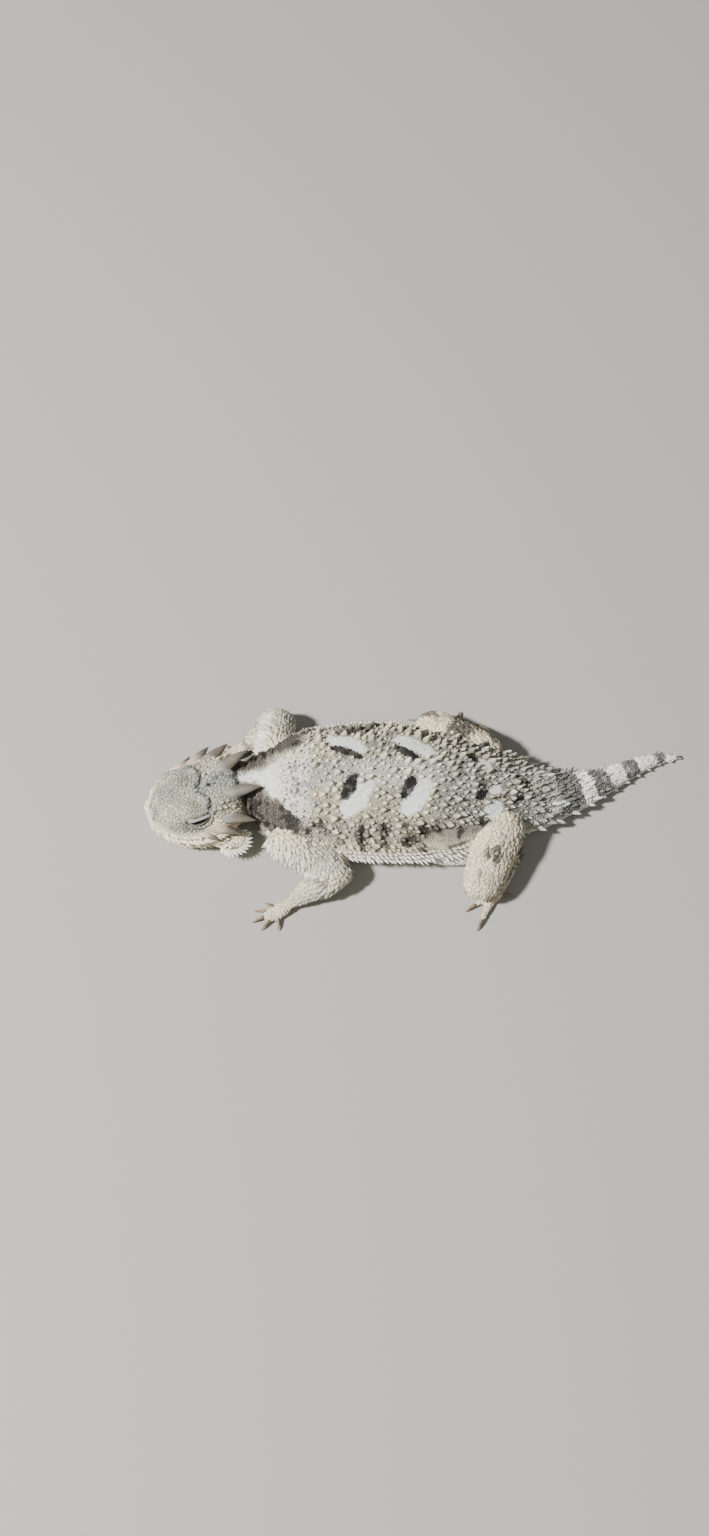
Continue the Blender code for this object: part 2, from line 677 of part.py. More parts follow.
def spine_plan():
    """Where the spines of each node start from, which way they go, and how large they are."""
    rng = random.Random(SEED)
    rims = both_sides((90,))
    plan = {
        "torso": trunk_rows(-33, 24, both_sides(BACK_ROWS), BACK_SPACING, BACK_SPINE, BACK_LEAN, rng)
        + trunk_rows(-31, 23.5, rims, FRINGE_SPACING, FRINGE_SPINE, FRINGE_LEAN, rng),
        "neck": trunk_rows(-39.5, -34.5, both_sides((40, 90)), 2.4, TAIL_SPINE, BACK_LEAN, rng),
    }
    for name, (start, end) in TAIL_SPANS.items():
        size = tuple(value * min(1.0, 0.35 + sample(TRUNK, (start + end) / 2)[1] / 6) for value in TAIL_SPINE)
        rows = both_sides(TAIL_ROWS)
        plan[name] = trunk_rows(start, end - 1.2, rows, TAIL_SPACING * 1.25, size, BACK_LEAN, rng)
        plan[name] += trunk_rows(start, end - 1.2, rims, TAIL_SPACING, size, FRINGE_LEAN, rng)
    plan["head"], plan["jaw"] = [], []
    for side, word in SIDES.items():
        jaw = [(a, 0, sample(SKULL, a)[6] - 1.0, 1, 0, 0.85 + a / 40) for a in steps(1.5, 11.5, 1.5)]
        plan["jaw"] += head_rows(jaw, side, JAW_SPINE, JAW_LIFT) + fold_rows(side)
        brow = [(a, 4.0, 9.6, 1, 0.75, 1.0) for a in steps(4.5, 7.5, 1.5)]
        cheek = [(a, 0, 7.2, 1, 0.0, 1.1) for a in (5.0, 7.2)]
        plan["head"] += head_rows(brow + cheek, side, BROW_SPINE)
        front, up, back = ARM_FRONT[side], (0, 0, 1), (1, side * 0.5, 0.2)
        arm = (SHOULDER[side], ELBOW[side])
        plan["upper_arm_" + word] = limb_rows(*arm, (front,), steps(0.05, 0.9, 0.14), ARM_SPINE)
        high = (front[0], front[1], 0.8)
        plan["upper_arm_" + word] += limb_rows(*arm, (high,), steps(0.2, 0.9, 0.17), LEG_SPINE)
        plan["upper_arm_" + word] += limb_rows(*arm, (up,), (0.55, 0.78), LEG_SPINE)
        arm = (ELBOW[side], WRIST[side])
        plan["forearm_" + word] = limb_rows(*arm, ((0, side, 0.1),), (0.1, 0.3, 0.5, 0.7), LEG_SPINE)
        leg = (HIP[side], KNEE[side])
        plan["thigh_" + word] = limb_rows(*leg, (back, up), (0.5, 0.68, 0.86), LEG_SPINE)
    return plan


def tree_of(obj):
    bm = bmesh.new()
    bm.from_mesh(obj.data)
    tree = BVHTree.FromBMesh(bm)
    bm.free()
    return tree


def grow_spines(nodes):
    """Fuses each node's spines into it, apart from those that would come close to another node."""
    trees = {obj.name: tree_of(obj) for obj in nodes.values()}
    taken = []
    for name, rows in spine_plan().items():
        pieces = []
        for origin, out, lean, size in rows:
            root, normal, face, depth = trees[name].ray_cast(origin * MM, out)
            if root is None:
                continue
            root = root / MM
            axis = (normal + lean).normalized()
            points = [root + axis * (size[0] * share) for share in SPINE_SHARES]
            if points[-1].z < 0.15 or too_close(name, points, size[1], trees, taken):
                continue
            taken += [(name, point) for point in points]
            sink = min(SINK, depth / MM * 0.45)
            pieces.append(pyramid(root, normal, lean, size, sink))
        if pieces:
            boolean(nodes[name], pieces, "UNION")
            keep_largest(nodes[name])


def too_close(name, points, wide, trees, taken):
    """Whether a spine through these points comes near another node or a spine on one."""
    reach = [(CLEAR + wide * (1 - share)) * MM for share in SPINE_SHARES]
    for other, tree in trees.items():
        if other == name:
            continue
        if any(tree.find_nearest(point * MM, near)[0] for point, near in zip(points, reach)):
            return True
    for other, point in taken:
        if other != name and any((point - mine).length < CLEAR + 0.9 for mine in points):
            return True
    return False


def finish(obj):
    """Gives a node its own material, shaded smooth apart from its sharp edges."""
    obj.data.materials.clear()
    obj.data.materials.append(make_material(obj.name))
    obj.data.shade_smooth()
    obj.data.set_sharp_from_angle(angle=math.radians(35))


def build():
    clear_scene()
    make_trunk_part("torso", *TORSO_SPAN, TORSO_STEP)
    for name, (start, end) in TAIL_SPANS.items():
        make_trunk_part(name, start, end, TAIL_STEP)
    loft("neck", neck_rings())
    make_head_parts()
    for side in SIDES:
        make_limbs(side)
    grow_spines({obj.name: obj for obj in bpy.context.scene.collection.objects})
    animal = bpy.data.collections.new("horned_lizard")
    bpy.context.scene.collection.children.link(animal)
    for obj in list(bpy.context.scene.collection.objects):
        bpy.context.scene.collection.objects.unlink(obj)
        animal.objects.link(obj)
        finish(obj)


build()
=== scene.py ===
"""Desert horned lizard, life size: the skin, scales, spines, horns, eyes and claws over the solids.

Lengths are millimetres, as in the solids' source, and meshes are written in metres. The head points
along -X, the animal's left side faces -Y, and +Z is up.
"""

import itertools
import math

import bmesh
import bpy
import numpy as np
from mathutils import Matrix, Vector
from mathutils.bvhtree import BVHTree
from mathutils.kdtree import KDTree


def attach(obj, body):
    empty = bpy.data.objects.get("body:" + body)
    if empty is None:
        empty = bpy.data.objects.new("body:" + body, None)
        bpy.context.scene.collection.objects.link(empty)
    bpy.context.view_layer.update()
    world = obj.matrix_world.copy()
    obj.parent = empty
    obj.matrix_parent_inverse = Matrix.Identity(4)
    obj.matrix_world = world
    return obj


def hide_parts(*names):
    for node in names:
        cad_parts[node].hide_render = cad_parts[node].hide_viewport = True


MM = 0.001
LEFT, RIGHT = -1, 1
SIDES = {LEFT: "left", RIGHT: "right"}
UP = Vector((0, 0, 1))
# Snout to vent is 85 mm and the tail 37 mm. Each row is a station along the spine:
# x, y, half width at the rim, height of the back, of the rim, half width of the belly, height below.
TRUNK = (
    (-40.3, 0.5, 6.3, 11.4, 6.6, 3.2, 3.2),
    (-37.3, 0.8, 6.5, 11.4, 6.2, 3.6, 2.4),
    (-34.0, 0.7, 8.8, 12.3, 6.0, 5.0, 1.0),
    (-30.0, 0.4, 12.0, 13.8, 5.8, 7.0, 0.0),
    (-24.0, 0.1, 14.5, 15.0, 5.6, 9.2, 0.0),
    (-15.0, 0.0, 15.9, 16.0, 5.4, 11.2, 0.0),
    (-4.0, 0.0, 16.3, 16.2, 5.2, 12.0, 0.0),
    (6.0, -0.1, 15.2, 15.4, 5.0, 11.2, 0.0),
    (14.0, -0.2, 12.4, 13.4, 4.8, 8.6, 0.0),
    (20.0, -0.4, 9.9, 11.4, 4.4, 6.6, 0.0),
    (25.0, -0.5, 8.2, 9.4, 3.8, 5.0, 0.0),
    (30.0, 0.1, 6.3, 7.6, 3.2, 3.8, 0.0),
    (34.0, 1.0, 4.9, 6.3, 2.8, 2.9, 0.0),
    (39.3, 3.0, 3.7, 5.1, 2.3, 2.1, 0.0),
    (44.0, 5.2, 2.8, 4.1, 1.9, 1.6, 0.0),
    (50.0, 8.4, 1.9, 3.0, 1.4, 1.1, 0.0),
    (55.5, 10.3, 1.25, 2.1, 1.0, 0.7, 0.0),
    (60.4, 10.9, 0.35, 0.8, 0.45, 0.25, 0.0),
)
BACK_FALL = 1.15  # above 1 the back falls straighter to a sharper rim
BACK_STEPS, BELLY_STEPS = 16, 8
TORSO_SPAN = (-34.0, 25.0)
# The drawn-up right leg presses the flank in: centre and half length along x, and depth.
DENT_AT, DENT_REACH, DENT_DEPTH = 6.0, 11.0, 2.2

# The head has its own frame: a runs back from the snout tip, b to the animal's right.
SNOUT = (-58.7, -6.6)
HEAD_YAW = math.radians(20)
HEAD_END = 20.2
# a, crown height, brow half width, brow height, cheek half width, cheek height,
# lip half width, lip height, jaw half width, jaw height.
SKULL = (
    (0.0, 6.6, 1.1, 6.4, 1.6, 5.8, 1.9, 4.9, 1.3, 4.0),
    (0.7, 7.8, 2.1, 7.5, 3.0, 6.5, 3.5, 4.8, 2.7, 3.2),
    (2.0, 9.2, 3.3, 9.0, 4.6, 7.1, 5.3, 4.7, 4.3, 2.6),
    (4.0, 10.6, 4.6, 10.7, 6.1, 7.5, 7.1, 4.6, 6.0, 2.3),
    (6.5, 11.5, 5.7, 11.9, 7.4, 7.7, 8.7, 4.7, 7.6, 2.1),
    (9.2, 11.9, 6.1, 12.4, 8.0, 7.8, 9.6, 4.9, 8.5, 2.0),
    (12.0, 12.1, 6.0, 12.5, 8.5, 8.0, 9.9, 5.2, 8.8, 2.0),
    (15.0, 12.5, 5.8, 12.6, 8.6, 8.6, 9.5, 5.6, 8.2, 2.2),
    (17.6, 12.8, 5.4, 12.7, 7.9, 8.9, 8.6, 6.0, 7.2, 2.5),
    (20.2, 12.7, 4.7, 12.4, 6.4, 9.0, 7.2, 6.4, 6.0, 3.0),
)
DOME = {"a": 8.4, "b": 3.5, "z": 8.6}  # the swelling over each eye
DOME_RADII = (5.2, 3.9, 4.1)
EYE_RADIUS = 2.4
EYE_SEAT = {"a": 9.9, "b": 4.5, "z": 8.9}
EYE_TILT = math.radians(35)  # the slit faces this far above level
SLIT_OUT = 3.3  # from the eye's centre to the slit's
NOSTRIL = {"a": 0.7, "b": 1.6, "z": 7.5}
NOSTRIL_RADIUS = 0.5
# The fold of skin behind each corner of the mouth carries long spines. It is stretched flat on the
# right, which the head turns away from.
FOLD = {
    LEFT: {"a": 15.6, "b": 10.2, "z": 3.75},
    RIGHT: {"a": 15.4, "b": 7.9, "z": 3.75},
}
FOLD_RADII = {LEFT: (3.5, 3.0, 1.15), RIGHT: (3.5, 2.4, 1.15)}

# Horns on each side: root and tip as a, b, z in the head's frame, half width, half thickness.
HORNS = {
    "horn_occipital": ((17.4, 2.9, 11.4), (24.8, 4.7, 13.4), 1.85, 1.35),
    "horn_temporal_1": ((15.7, 6.9, 9.0), (21.7, 9.9, 8.7), 1.7, 1.2),
    "horn_temporal_2": ((12.7, 7.9, 7.9), (17.7, 11.3, 7.4), 1.45, 1.05),
    "horn_temporal_3": ((9.8, 7.9, 6.9), (13.2, 11.0, 6.2), 1.05, 0.85),
}
HORN_PROFILE = ((0.0, 1.0), (0.45, 0.72), (0.78, 0.36), (1.0, 0.04))

# Joint centres, and half width and half thickness at the thick of each limb segment.
SHOULDER = {LEFT: (-30.6, -11.4, 6.4), RIGHT: (-31.8, 7.4, 7.4)}
ELBOW = {LEFT: (-17.3, -19.1, 4.9), RIGHT: (-30.1, 18.0, 4.6)}
WRIST = {LEFT: (-26.6, -24.6, 2.2), RIGHT: (-37.6, 13.2, 1.9)}
HIP = {LEFT: (20.0, -6.6, 6.8), RIGHT: (17.6, 7.0, 6.2)}
KNEE = {LEFT: (13.9, -22.0, 5.0), RIGHT: (3.6, 16.2, 4.8)}
ANKLE = {LEFT: (22.4, -13.4, 2.6), RIGHT: (16.0, 15.6, 2.4)}
UPPER_ARM_SIZE, FOREARM_SIZE = (3.9, 3.6), (3.5, 3.0)
THIGH_SIZE, SHIN_SIZE = (4.9, 3.7), (2.8, 2.1)
# Share of the length, and share of the half width.
UPPER_PROFILE = (
    (-0.05, 0.6),
    (0.08, 0.92),
    (0.35, 1.02),
    (0.65, 0.98),
    (0.9, 0.94),
    (1.08, 0.78),
    (1.2, 0.4),
)
LOWER_PROFILE = (
    (-0.16, 0.46),
    (-0.04, 0.86),
    (0.14, 1.04),
    (0.4, 0.95),
    (0.7, 0.72),
    (0.92, 0.58),
    (1.04, 0.4),
)

# Knuckles, where the toes fan out, and each toe's tip with its claw, from the inner toe outward.
KNUCKLES_FRONT = {LEFT: (-30.2, -26.7, 1.0), RIGHT: (-40.6, 11.6, 1.0)}
KNUCKLES_HIND = {LEFT: (17.0, -22.4, 1.0), RIGHT: (8.6, 18.4, 1.0)}
FRONT_TOES = {
    LEFT: ((-33.2, -24.4), (-35.5, -26.5), (-35.8, -29.1), (-33.9, -31.0), (-30.0, -31.1)),
    RIGHT: ((-41.6, 7.6), (-44.4, 8.0), (-45.6, 9.8), (-45.2, 11.9), (-42.8, 14.0)),
}
HIND_TOES = {
    LEFT: ((12.6, -18.8), (10.2, -22.0), (10.4, -26.6), (12.9, -31.1), (21.2, -22.9)),
    RIGHT: ((4.0, 15.6), (0.6, 16.6), (-1.4, 18.2), (-1.6, 20.4), (10.6, 22.6)),
}
TOE_RADIUS, CLAW_LENGTH = 0.85, 1.9
PALM_HALF = (1.9, 1.2)
PALM_PROFILE = ((0.0, 0.6), (0.5, 0.9), (1.0, 1.0), (1.25, 0.6))
TOE_PROFILE = ((0.0, 0.95), (0.5, 1.0), (1.0, 0.55))


# How finely the skin is made.
VOXEL = 0.38  # and half that on the head
SMOOTHING = 5
INSET = 0.12  # the skin lies this far inside the solids, for the scales
CLEARANCE = 0.005  # the lowest scales are this far above the floor

# Places on the trunk are x and degrees round from the midline, the animal's left below 0.
# Centre, half sizes along and across in mm, and how far the patch slants toward the tail.
DARK_BLOTCHES = (
    ((-14.6, -14), (3.1, 1.4), 58),
    ((-1.9, -14), (3.1, 1.4), 58),
    ((14.0, -20), (1.6, 1.3), 60),
    ((-15.4, 19), (3.8, 1.0), -26),
    ((-2.0, 17), (3.4, 1.0), -30),
    ((12.6, 20), (1.5, 1.1), -40),
    ((22.5, -22), (1.4, 0.9), 60),
    ((21.5, 14), (1.3, 0.8), -50),
)
PALE_PATCHES = (
    ((-13.0, -23), (4.8, 2.4), 54),
    ((-0.2, -22), (4.8, 2.4), 54),
    ((17.3, -13), (1.9, 1.2), 60),
    ((16.8, -37), (3.3, 2.1), 80),
    ((-15.4, 29), (5.4, 2.1), -28),
    ((-0.8, 26), (5.0, 2.0), -30),
    ((14.6, 17), (2.0, 1.4), -40),
    ((30.4, -44), (2.8, 2.2), 70),
    ((28.6, 36), (2.2, 1.7), -70),
)
TAIL_BANDS = (  # start and end of the dark rings
    (31.4, 36.2),
    (39.2, 43.0),
    (46.6, 49.4),
    (53.8, 56.0),
    (58.6, 61.0),
)
# The pale patch on the nape opens toward the tail: x, its left edge and its right edge in degrees.
NAPE = ((-41, -9, 5), (-35, -9, 5), (-31.5, -24, 14), (-28, -36, 24), (-24.5, -44, 32), (-22.5, -46, 34))

WHITE = (0.76, 0.765, 0.72)
CREAM = (0.7, 0.63, 0.43)
TAIL_WHITE = (0.96, 0.955, 0.89)
RING = (0.15, 0.145, 0.13)
PEACH = (0.62, 0.48, 0.35)
SAND = (0.455, 0.432, 0.365)
GREY = (0.30, 0.294, 0.262)
BROWN = (0.105, 0.092, 0.074)
DARK = (0.02, 0.0185, 0.0165)
HORN = (0.15, 0.129, 0.102)
PINK = (0.56, 0.495, 0.41)
CREST = (0.285, 0.276, 0.23)
CROWN = (0.235, 0.248, 0.236)
LID = (0.33, 0.32, 0.29)
FRINGE_WHITE = (0.82, 0.78, 0.71)
JAW_WHITE = (0.8, 0.73, 0.55)

LIDS, OPENING = (2.6, 1.0), (1.55, 0.33)  # half length and half width of the bare lids and the slit
PINEAL = (14.6, 0.0)  # a and b of the dark spot on the crown
BELLY_FOLD, BELLY_FOLD_RADII = (7.8, -13.4, 1.9), (7.2, 2.8, 1.9)
ARM_FRONT = {LEFT: (-0.54, -0.84, 0.0), RIGHT: (-1.0, 0.15, 0.0)}
THROAT_LENGTH = 2.2
SEED = 7

# The photograph is 709 by 1536 pixels, 0.2245 mm to a pixel at the animal.
FRAME_HEIGHT = 1536 * 0.2245
CAMERA_RISE, CAMERA_DISTANCE = 64, 0.5
CAMERA_LOOK = (-13.58, 8.42, 0.0)
LIGHTS = (  # place, width and power
    ("key", (-0.64, -0.2, 0.75), 0.11, 25.0),
    ("fill", (0.3, -0.6, 1.0), 1.2, 1.5),
)
WORLD_STRENGTH = 0.2
FLOOR_COLOUR = (0.385, 0.378, 0.34, 1)

HEAD_BACK = Vector((math.cos(HEAD_YAW), math.sin(HEAD_YAW), 0))
HEAD_RIGHT = Vector((-math.sin(HEAD_YAW), math.cos(HEAD_YAW), 0))
NECK_STEPS = 12
SPINDLE_STEP = 0.08  # share of a limb segment's length between its rings
TOE_HEIGHT, CLAW_TIP_HEIGHT = 0.75, 0.25
LOWEST_SKIN = 0.02  # the skin is this far above the floor
EYE_DEPTH = 2.5  # how far in and out from the slit its lids reach
# Folds round each eye: height, half length and half width of an oval, place on it and breadth.
LID_FOLDS = (
    (0.3, LIDS, 0.55, 0.3),
    (-0.24, LIDS, 1.06, 0.1),
    (0.16, (3.3, 1.75), 1.0, 0.12),
    (-0.2, (3.8, 2.4), 1.0, 0.1),
)
PATCH = 0.0011  # half the size of a scale's patch on the flat layout, which is 1 across

# A scale's rings from its base up: share of its outline, share of its height, shift along its lie.
SPINE_RINGS = ((1.0, -0.25, -0.1), (0.86, 0.08, 0.0), (0.62, 0.35, 0.12), (0.32, 0.7, 0.4))
PLATE_RINGS = ((1.0, -0.8, 0.0), (0.98, 0.35, 0.0), (0.72, 0.9, 0.0))
KNOB_RINGS = ((1.0, -0.35, 0.0), (0.97, 0.1, 0.0), (0.7, 0.42, 0.1), (0.36, 0.76, 0.3), (0.14, 0.95, 0.48))
LEAF_RINGS = ((1.0, -0.5, 0.0), (0.95, 0.25, 0.03), (0.7, 0.62, 0.3), (0.36, 0.85, 0.75))
LEAF_TIP = (1.35, 1.0)

FINE_HEAD = 13.0  # half the width of the head's finer mesh
FINE_EYE = 3.2  # the mesh is finer still this near to each slit
TRIES = 12  # places tried for each scale that might fit
FRONT_END = -8.0  # x where the trunk's two meshes of small scales meet
FRINGE_SPAN = (-31.5, 24.0)
TAIL_SPINES = (26.5, 59.5)
LIP_END, JAW_END = 14.2, 14.5  # a at the back of the rows on lips and jaw
HORN_SIDES, HORN_STEP, HORN_ARCH = 20, 0.03, 0.25
CLAW_SIDES, CLAW_RADIUS, CLAW_ARCH = 8, 0.42, 0.22
FLOOR_REACH = 3.0  # metres from the middle to each edge

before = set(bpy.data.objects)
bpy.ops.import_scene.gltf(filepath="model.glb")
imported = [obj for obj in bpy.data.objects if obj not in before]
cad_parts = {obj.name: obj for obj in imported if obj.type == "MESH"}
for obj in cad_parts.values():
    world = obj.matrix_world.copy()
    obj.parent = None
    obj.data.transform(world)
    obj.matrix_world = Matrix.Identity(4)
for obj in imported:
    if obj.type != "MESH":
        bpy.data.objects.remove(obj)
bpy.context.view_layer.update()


# Shape tables


def sample(table, at):
    """Every column of a table at this place, on a smooth curve that never overshoots its rows."""
    at = min(max(at, table[0][0]), table[-1][0])
    i = next(k for k in range(len(table) - 1) if at <= table[k + 1][0])
    low, high = table[i], table[i + 1]
    span = high[0] - low[0]
    t = (at - low[0]) / span
    found = []
    for column in range(1, len(low)):
        rise = (high[column] - low[column]) / span
        before = after = rise
        if i > 0:
            before = shared_slope(rise, table[i - 1], low, column)
        if i + 2 < len(table):
            after = shared_slope(rise, high, table[i + 2], column)
        value = low[column] * (1 + 2 * t) * (1 - t) ** 2 + high[column] * t * t * (3 - 2 * t)
        found.append(value + span * (before * t * (1 - t) ** 2 - after * t * t * (1 - t)))
    return found


def shared_slope(rise, first, second, column):
    """The slope where two stretches meet, level where one rises and the other falls."""
    other = (second[column] - first[column]) / (second[0] - first[0])
    return 0.0 if rise * other <= 0 else 2 * rise * other / (rise + other)


def steps(start, end, longest):
    """Places from start to end, evenly spaced and no further apart than longest."""
    count = max(1, math.ceil(abs(end - start) / longest))
    return [start + (end - start) * k / count for k in range(count + 1)]


def turns_of(sides, shift=0.0):
    """The angles round a ring of this many sides."""
    return [2 * math.pi * (k + shift) / sides for k in range(sides)]


def oval_ring(centre, across, up, wide, thick, turns):
    """Points round an oval at these angles."""
    return [centre + across * (wide * math.cos(t)) + up * (thick * math.sin(t)) for t in turns]


def ring_faces(rows, sides, first=0):
    """The four-sided faces between rings of points that follow one another."""
    return [
        (low + i, low + (i + 1) % sides, low + sides + (i + 1) % sides, low + sides + i)
        for low in range(first, first + (rows - 1) * sides, sides)
        for i in range(sides)
    ]


# The body's forms


def spine_heading(x):
    """The angle of the spine about +Z at x."""
    return math.atan2(sample(TRUNK, x + 0.5)[0] - sample(TRUNK, x - 0.5)[0], 1.0)


def across_spine(heading):
    return Vector((-math.sin(heading), math.cos(heading), 0))


def flank_dent(x, lateral):
    """How far the right flank is pressed in by the leg beside it."""
    away = abs(x - DENT_AT) / DENT_REACH
    return DENT_DEPTH * max(0.0, 1 - away * away) ** 2 if lateral > 0 else 0.0


def trunk_ring(x, heading=None, centre=None):
    """The outline of neck, torso or tail at x, from the left rim over the back and round the belly."""
    y, width, back, rim, belly, floor = sample(TRUNK, x)
    heading = spine_heading(x) if heading is None else heading
    centre = Vector((x, y, 0)) if centre is None else centre
    outline = []
    for k in range(-BACK_STEPS, BACK_STEPS + 1):
        angle = math.pi / 2 * k / BACK_STEPS
        rise = max(0.0, math.cos(angle)) ** BACK_FALL
        outline.append((width * math.sin(angle), rim + (back - rim) * rise))
    under = []
    for k in range(1, BELLY_STEPS + 1):
        angle = math.pi / 2 * k / BELLY_STEPS
        under.append((belly + (width - belly) * math.cos(angle), rim - (rim - floor) * math.sin(angle)))
    outline += under + [(-lateral, z) for lateral, z in reversed(under)]
    points = []
    for lateral, z in outline:
        share = abs(lateral) / width
        lateral -= flank_dent(x, lateral) * share * share
        points.append(centre + across_spine(heading) * lateral + Vector((0, 0, z)))
    return points


def neck_rings():
    """The neck turns from the head's heading into the torso's, and runs on inside both."""
    front = head_point(HEAD_END - 1.0, 0, 0)
    rear = Vector((TORSO_SPAN[0] + 0.5, sample(TRUNK, TORSO_SPAN[0])[0], 0))
    rings = []
    for t in steps(0, 1, 1 / NECK_STEPS):
        x = TRUNK[0][0] + (rear.x - TRUNK[0][0]) * t
        heading = HEAD_YAW * (1 - t) + spine_heading(rear.x) * t
        rings.append(trunk_ring(x, heading, front.lerp(rear, t)))
    return rings


def head_point(a, b, z):
    """A point of the head's frame in the animal's."""
    return Vector((*SNOUT, 0)) + HEAD_BACK * a + HEAD_RIGHT * b + Vector((0, 0, z))


def on_head(place, side):
    """A place given by a, b and z, on this side of the head."""
    return head_point(place["a"], side * place["b"], place["z"])


def skull_ring(a):
    """The outline of head and jaw together at a."""
    crown, brow, brow_z, cheek, cheek_z, lip, lip_z, jaw, jaw_z = sample(SKULL, a)
    half = [
        (brow * 0.5, crown + (brow_z - crown) * 0.3),
        (brow * 0.88, brow_z),
        (brow, brow_z - 0.7),
        (cheek, cheek_z),
        (lip - 0.3, lip_z + 1.0),
        (lip, lip_z),
        (lip - 0.2, lip_z - 0.9),
        (jaw, jaw_z + 0.6),
        (jaw * 0.6, jaw_z),
    ]
    outline = [(0.0, crown), *half, (0.0, jaw_z), *[(-b, z) for b, z in reversed(half)]]
    return [head_point(a, b, z) for b, z in outline]


def gaze(side):
    """The direction that the eye's opening faces."""
    return HEAD_RIGHT * (side * math.cos(EYE_TILT)) + UP * math.sin(EYE_TILT)


def spindle_rings(start, end, profile, half, sides):
    """Rings along a straight line. A profile row is a share of the length and of the size."""
    start, end = Vector(start), Vector(end)
    along = (end - start).normalized()
    side = along.cross(UP).normalized()
    up = side.cross(along)
    rings = []
    for share in steps(profile[0][0], profile[-1][0], SPINDLE_STEP):
        size = sample(profile, share)[0]
        centre = start.lerp(end, share)
        rings.append(oval_ring(centre, side, up, half[0] * size, half[1] * size, turns_of(sides, 0.5)))
    return rings


def ball_rings(centre, radii, axes=None, sides=24, rows=16):
    """Rings of a ball from one end of its first axis to the other."""
    first, second, third = axes or (Vector((-1, 0, 0)), Vector((0, 1, 0)), Vector((0, 0, 1)))
    rings = []
    for k in range(1, rows):
        turn = math.pi * k / rows
        middle = centre + first * (radii[0] * math.cos(turn))
        wide, high = radii[1] * math.sin(turn), radii[2] * math.sin(turn)
        rings.append(oval_ring(middle, second, third, wide, high, turns_of(sides)))
    return rings


def limb_segments(side):
    """Start, end, profile and half sizes of each segment of this side's arm and leg."""
    return {
        "upper_arm": (SHOULDER[side], ELBOW[side], UPPER_PROFILE, UPPER_ARM_SIZE),
        "forearm": (ELBOW[side], WRIST[side], LOWER_PROFILE, FOREARM_SIZE),
        "hand": (WRIST[side], KNUCKLES_FRONT[side], PALM_PROFILE, PALM_HALF),
        "thigh": (HIP[side], KNEE[side], UPPER_PROFILE, THIGH_SIZE),
        "shin": (KNEE[side], ANKLE[side], LOWER_PROFILE, SHIN_SIZE),
        "foot": (ANKLE[side], KNUCKLES_HIND[side], PALM_PROFILE, PALM_HALF),
    }


def toe_lines(side):
    """For this side's hand and foot, where each toe starts, where its claw starts, and the claw's tip."""
    lines = {"hand": [], "foot": []}
    for name, knuckles, tips in (
        ("hand", KNUCKLES_FRONT[side], FRONT_TOES[side]),
        ("foot", KNUCKLES_HIND[side], HIND_TOES[side]),
    ):
        knuckles = Vector(knuckles)
        for tip in tips:
            end = Vector((*tip, TOE_HEIGHT))
            reach = (end - knuckles).normalized()
            tip = Vector((*tip, CLAW_TIP_HEIGHT))
            lines[name].append((knuckles - reach * 0.6, end - reach * CLAW_LENGTH, tip))
    return lines


def body_parts():
    """Every closed form under the skin, by region, as rings of points."""
    torso = [trunk_ring(x) for x in steps(TORSO_SPAN[0] - 0.2, TORSO_SPAN[1] + 0.2, 1.0)]
    tail = [trunk_ring(x) for x in steps(TORSO_SPAN[1], TRUNK[-1][0], 0.8)]
    parts = [("torso", torso), ("tail", tail), ("neck", neck_rings())]
    parts.append(("head", [skull_ring(a) for a in steps(0, HEAD_END, 0.7)]))
    parts.append(("torso", ball_rings(Vector(BELLY_FOLD), BELLY_FOLD_RADII)))
    for side, word in SIDES.items():
        parts.append(("head", ball_rings(on_head(DOME, side), DOME_RADII)))
        parts.append(("fold", ball_rings(on_head(FOLD[side], side), FOLD_RADII[side])))
        for name, (start, end, profile, half) in limb_segments(side).items():
            parts.append((f"{name}_{word}", spindle_rings(start, end, profile, half, 24)))
        for name, toes in toe_lines(side).items():
            for start, end, claw in toes:
                rings = spindle_rings(start, end, TOE_PROFILE, (TOE_RADIUS, TOE_RADIUS), 12)
                parts.append((f"{name}_{word}", rings))
    return parts


# The skin


def join_rings(parts):
    """One mesh of all the closed forms: points, faces, and each face's region."""
    points, faces, regions = [], [], []
    for name, rings in parts:
        first, sides = len(points), len(rings[0])
        last = first + (len(rings) - 1) * sides
        points += [point for ring in rings for point in ring]
        points += [sum(ring, Vector()) / sides for ring in (rings[0], rings[-1])]
        faces += ring_faces(len(rings), sides, first)
        faces += [(first + (i + 1) % sides, first + i, len(points) - 2) for i in range(sides)]
        faces += [(last + i, last + (i + 1) % sides, len(points) - 1) for i in range(sides)]
        regions += [name] * (len(faces) - len(regions))
    return points, faces, regions


def remeshed(points, faces):
    """One closed surface over all the forms, with an even mesh."""
    mesh = bpy.data.meshes.new("forms")
    mesh.from_pydata(points, [], faces)
    obj = bpy.data.objects.new("forms", mesh)
    bpy.context.scene.collection.objects.link(obj)
    remesh = obj.modifiers.new("even", "REMESH")
    remesh.mode = "VOXEL"
    remesh.voxel_size = VOXEL
    evaluated = obj.evaluated_get(bpy.context.evaluated_depsgraph_get())
    result = bpy.data.meshes.new_from_object(evaluated)
    bpy.data.objects.remove(obj, do_unlink=True)
    return result


def read_all(items, name, width, kind=float):
    """One property of all of a mesh's items, as rows."""
    values = np.empty(len(items) * width, dtype=kind)
    items.foreach_get(name, values)
    return values.reshape(-1, width)


def read_mesh(mesh):
    """A mesh's points, and its faces as rows of corners."""
    return read_all(mesh.vertices, "co", 3), [tuple(face.vertices) for face in mesh.polygons]


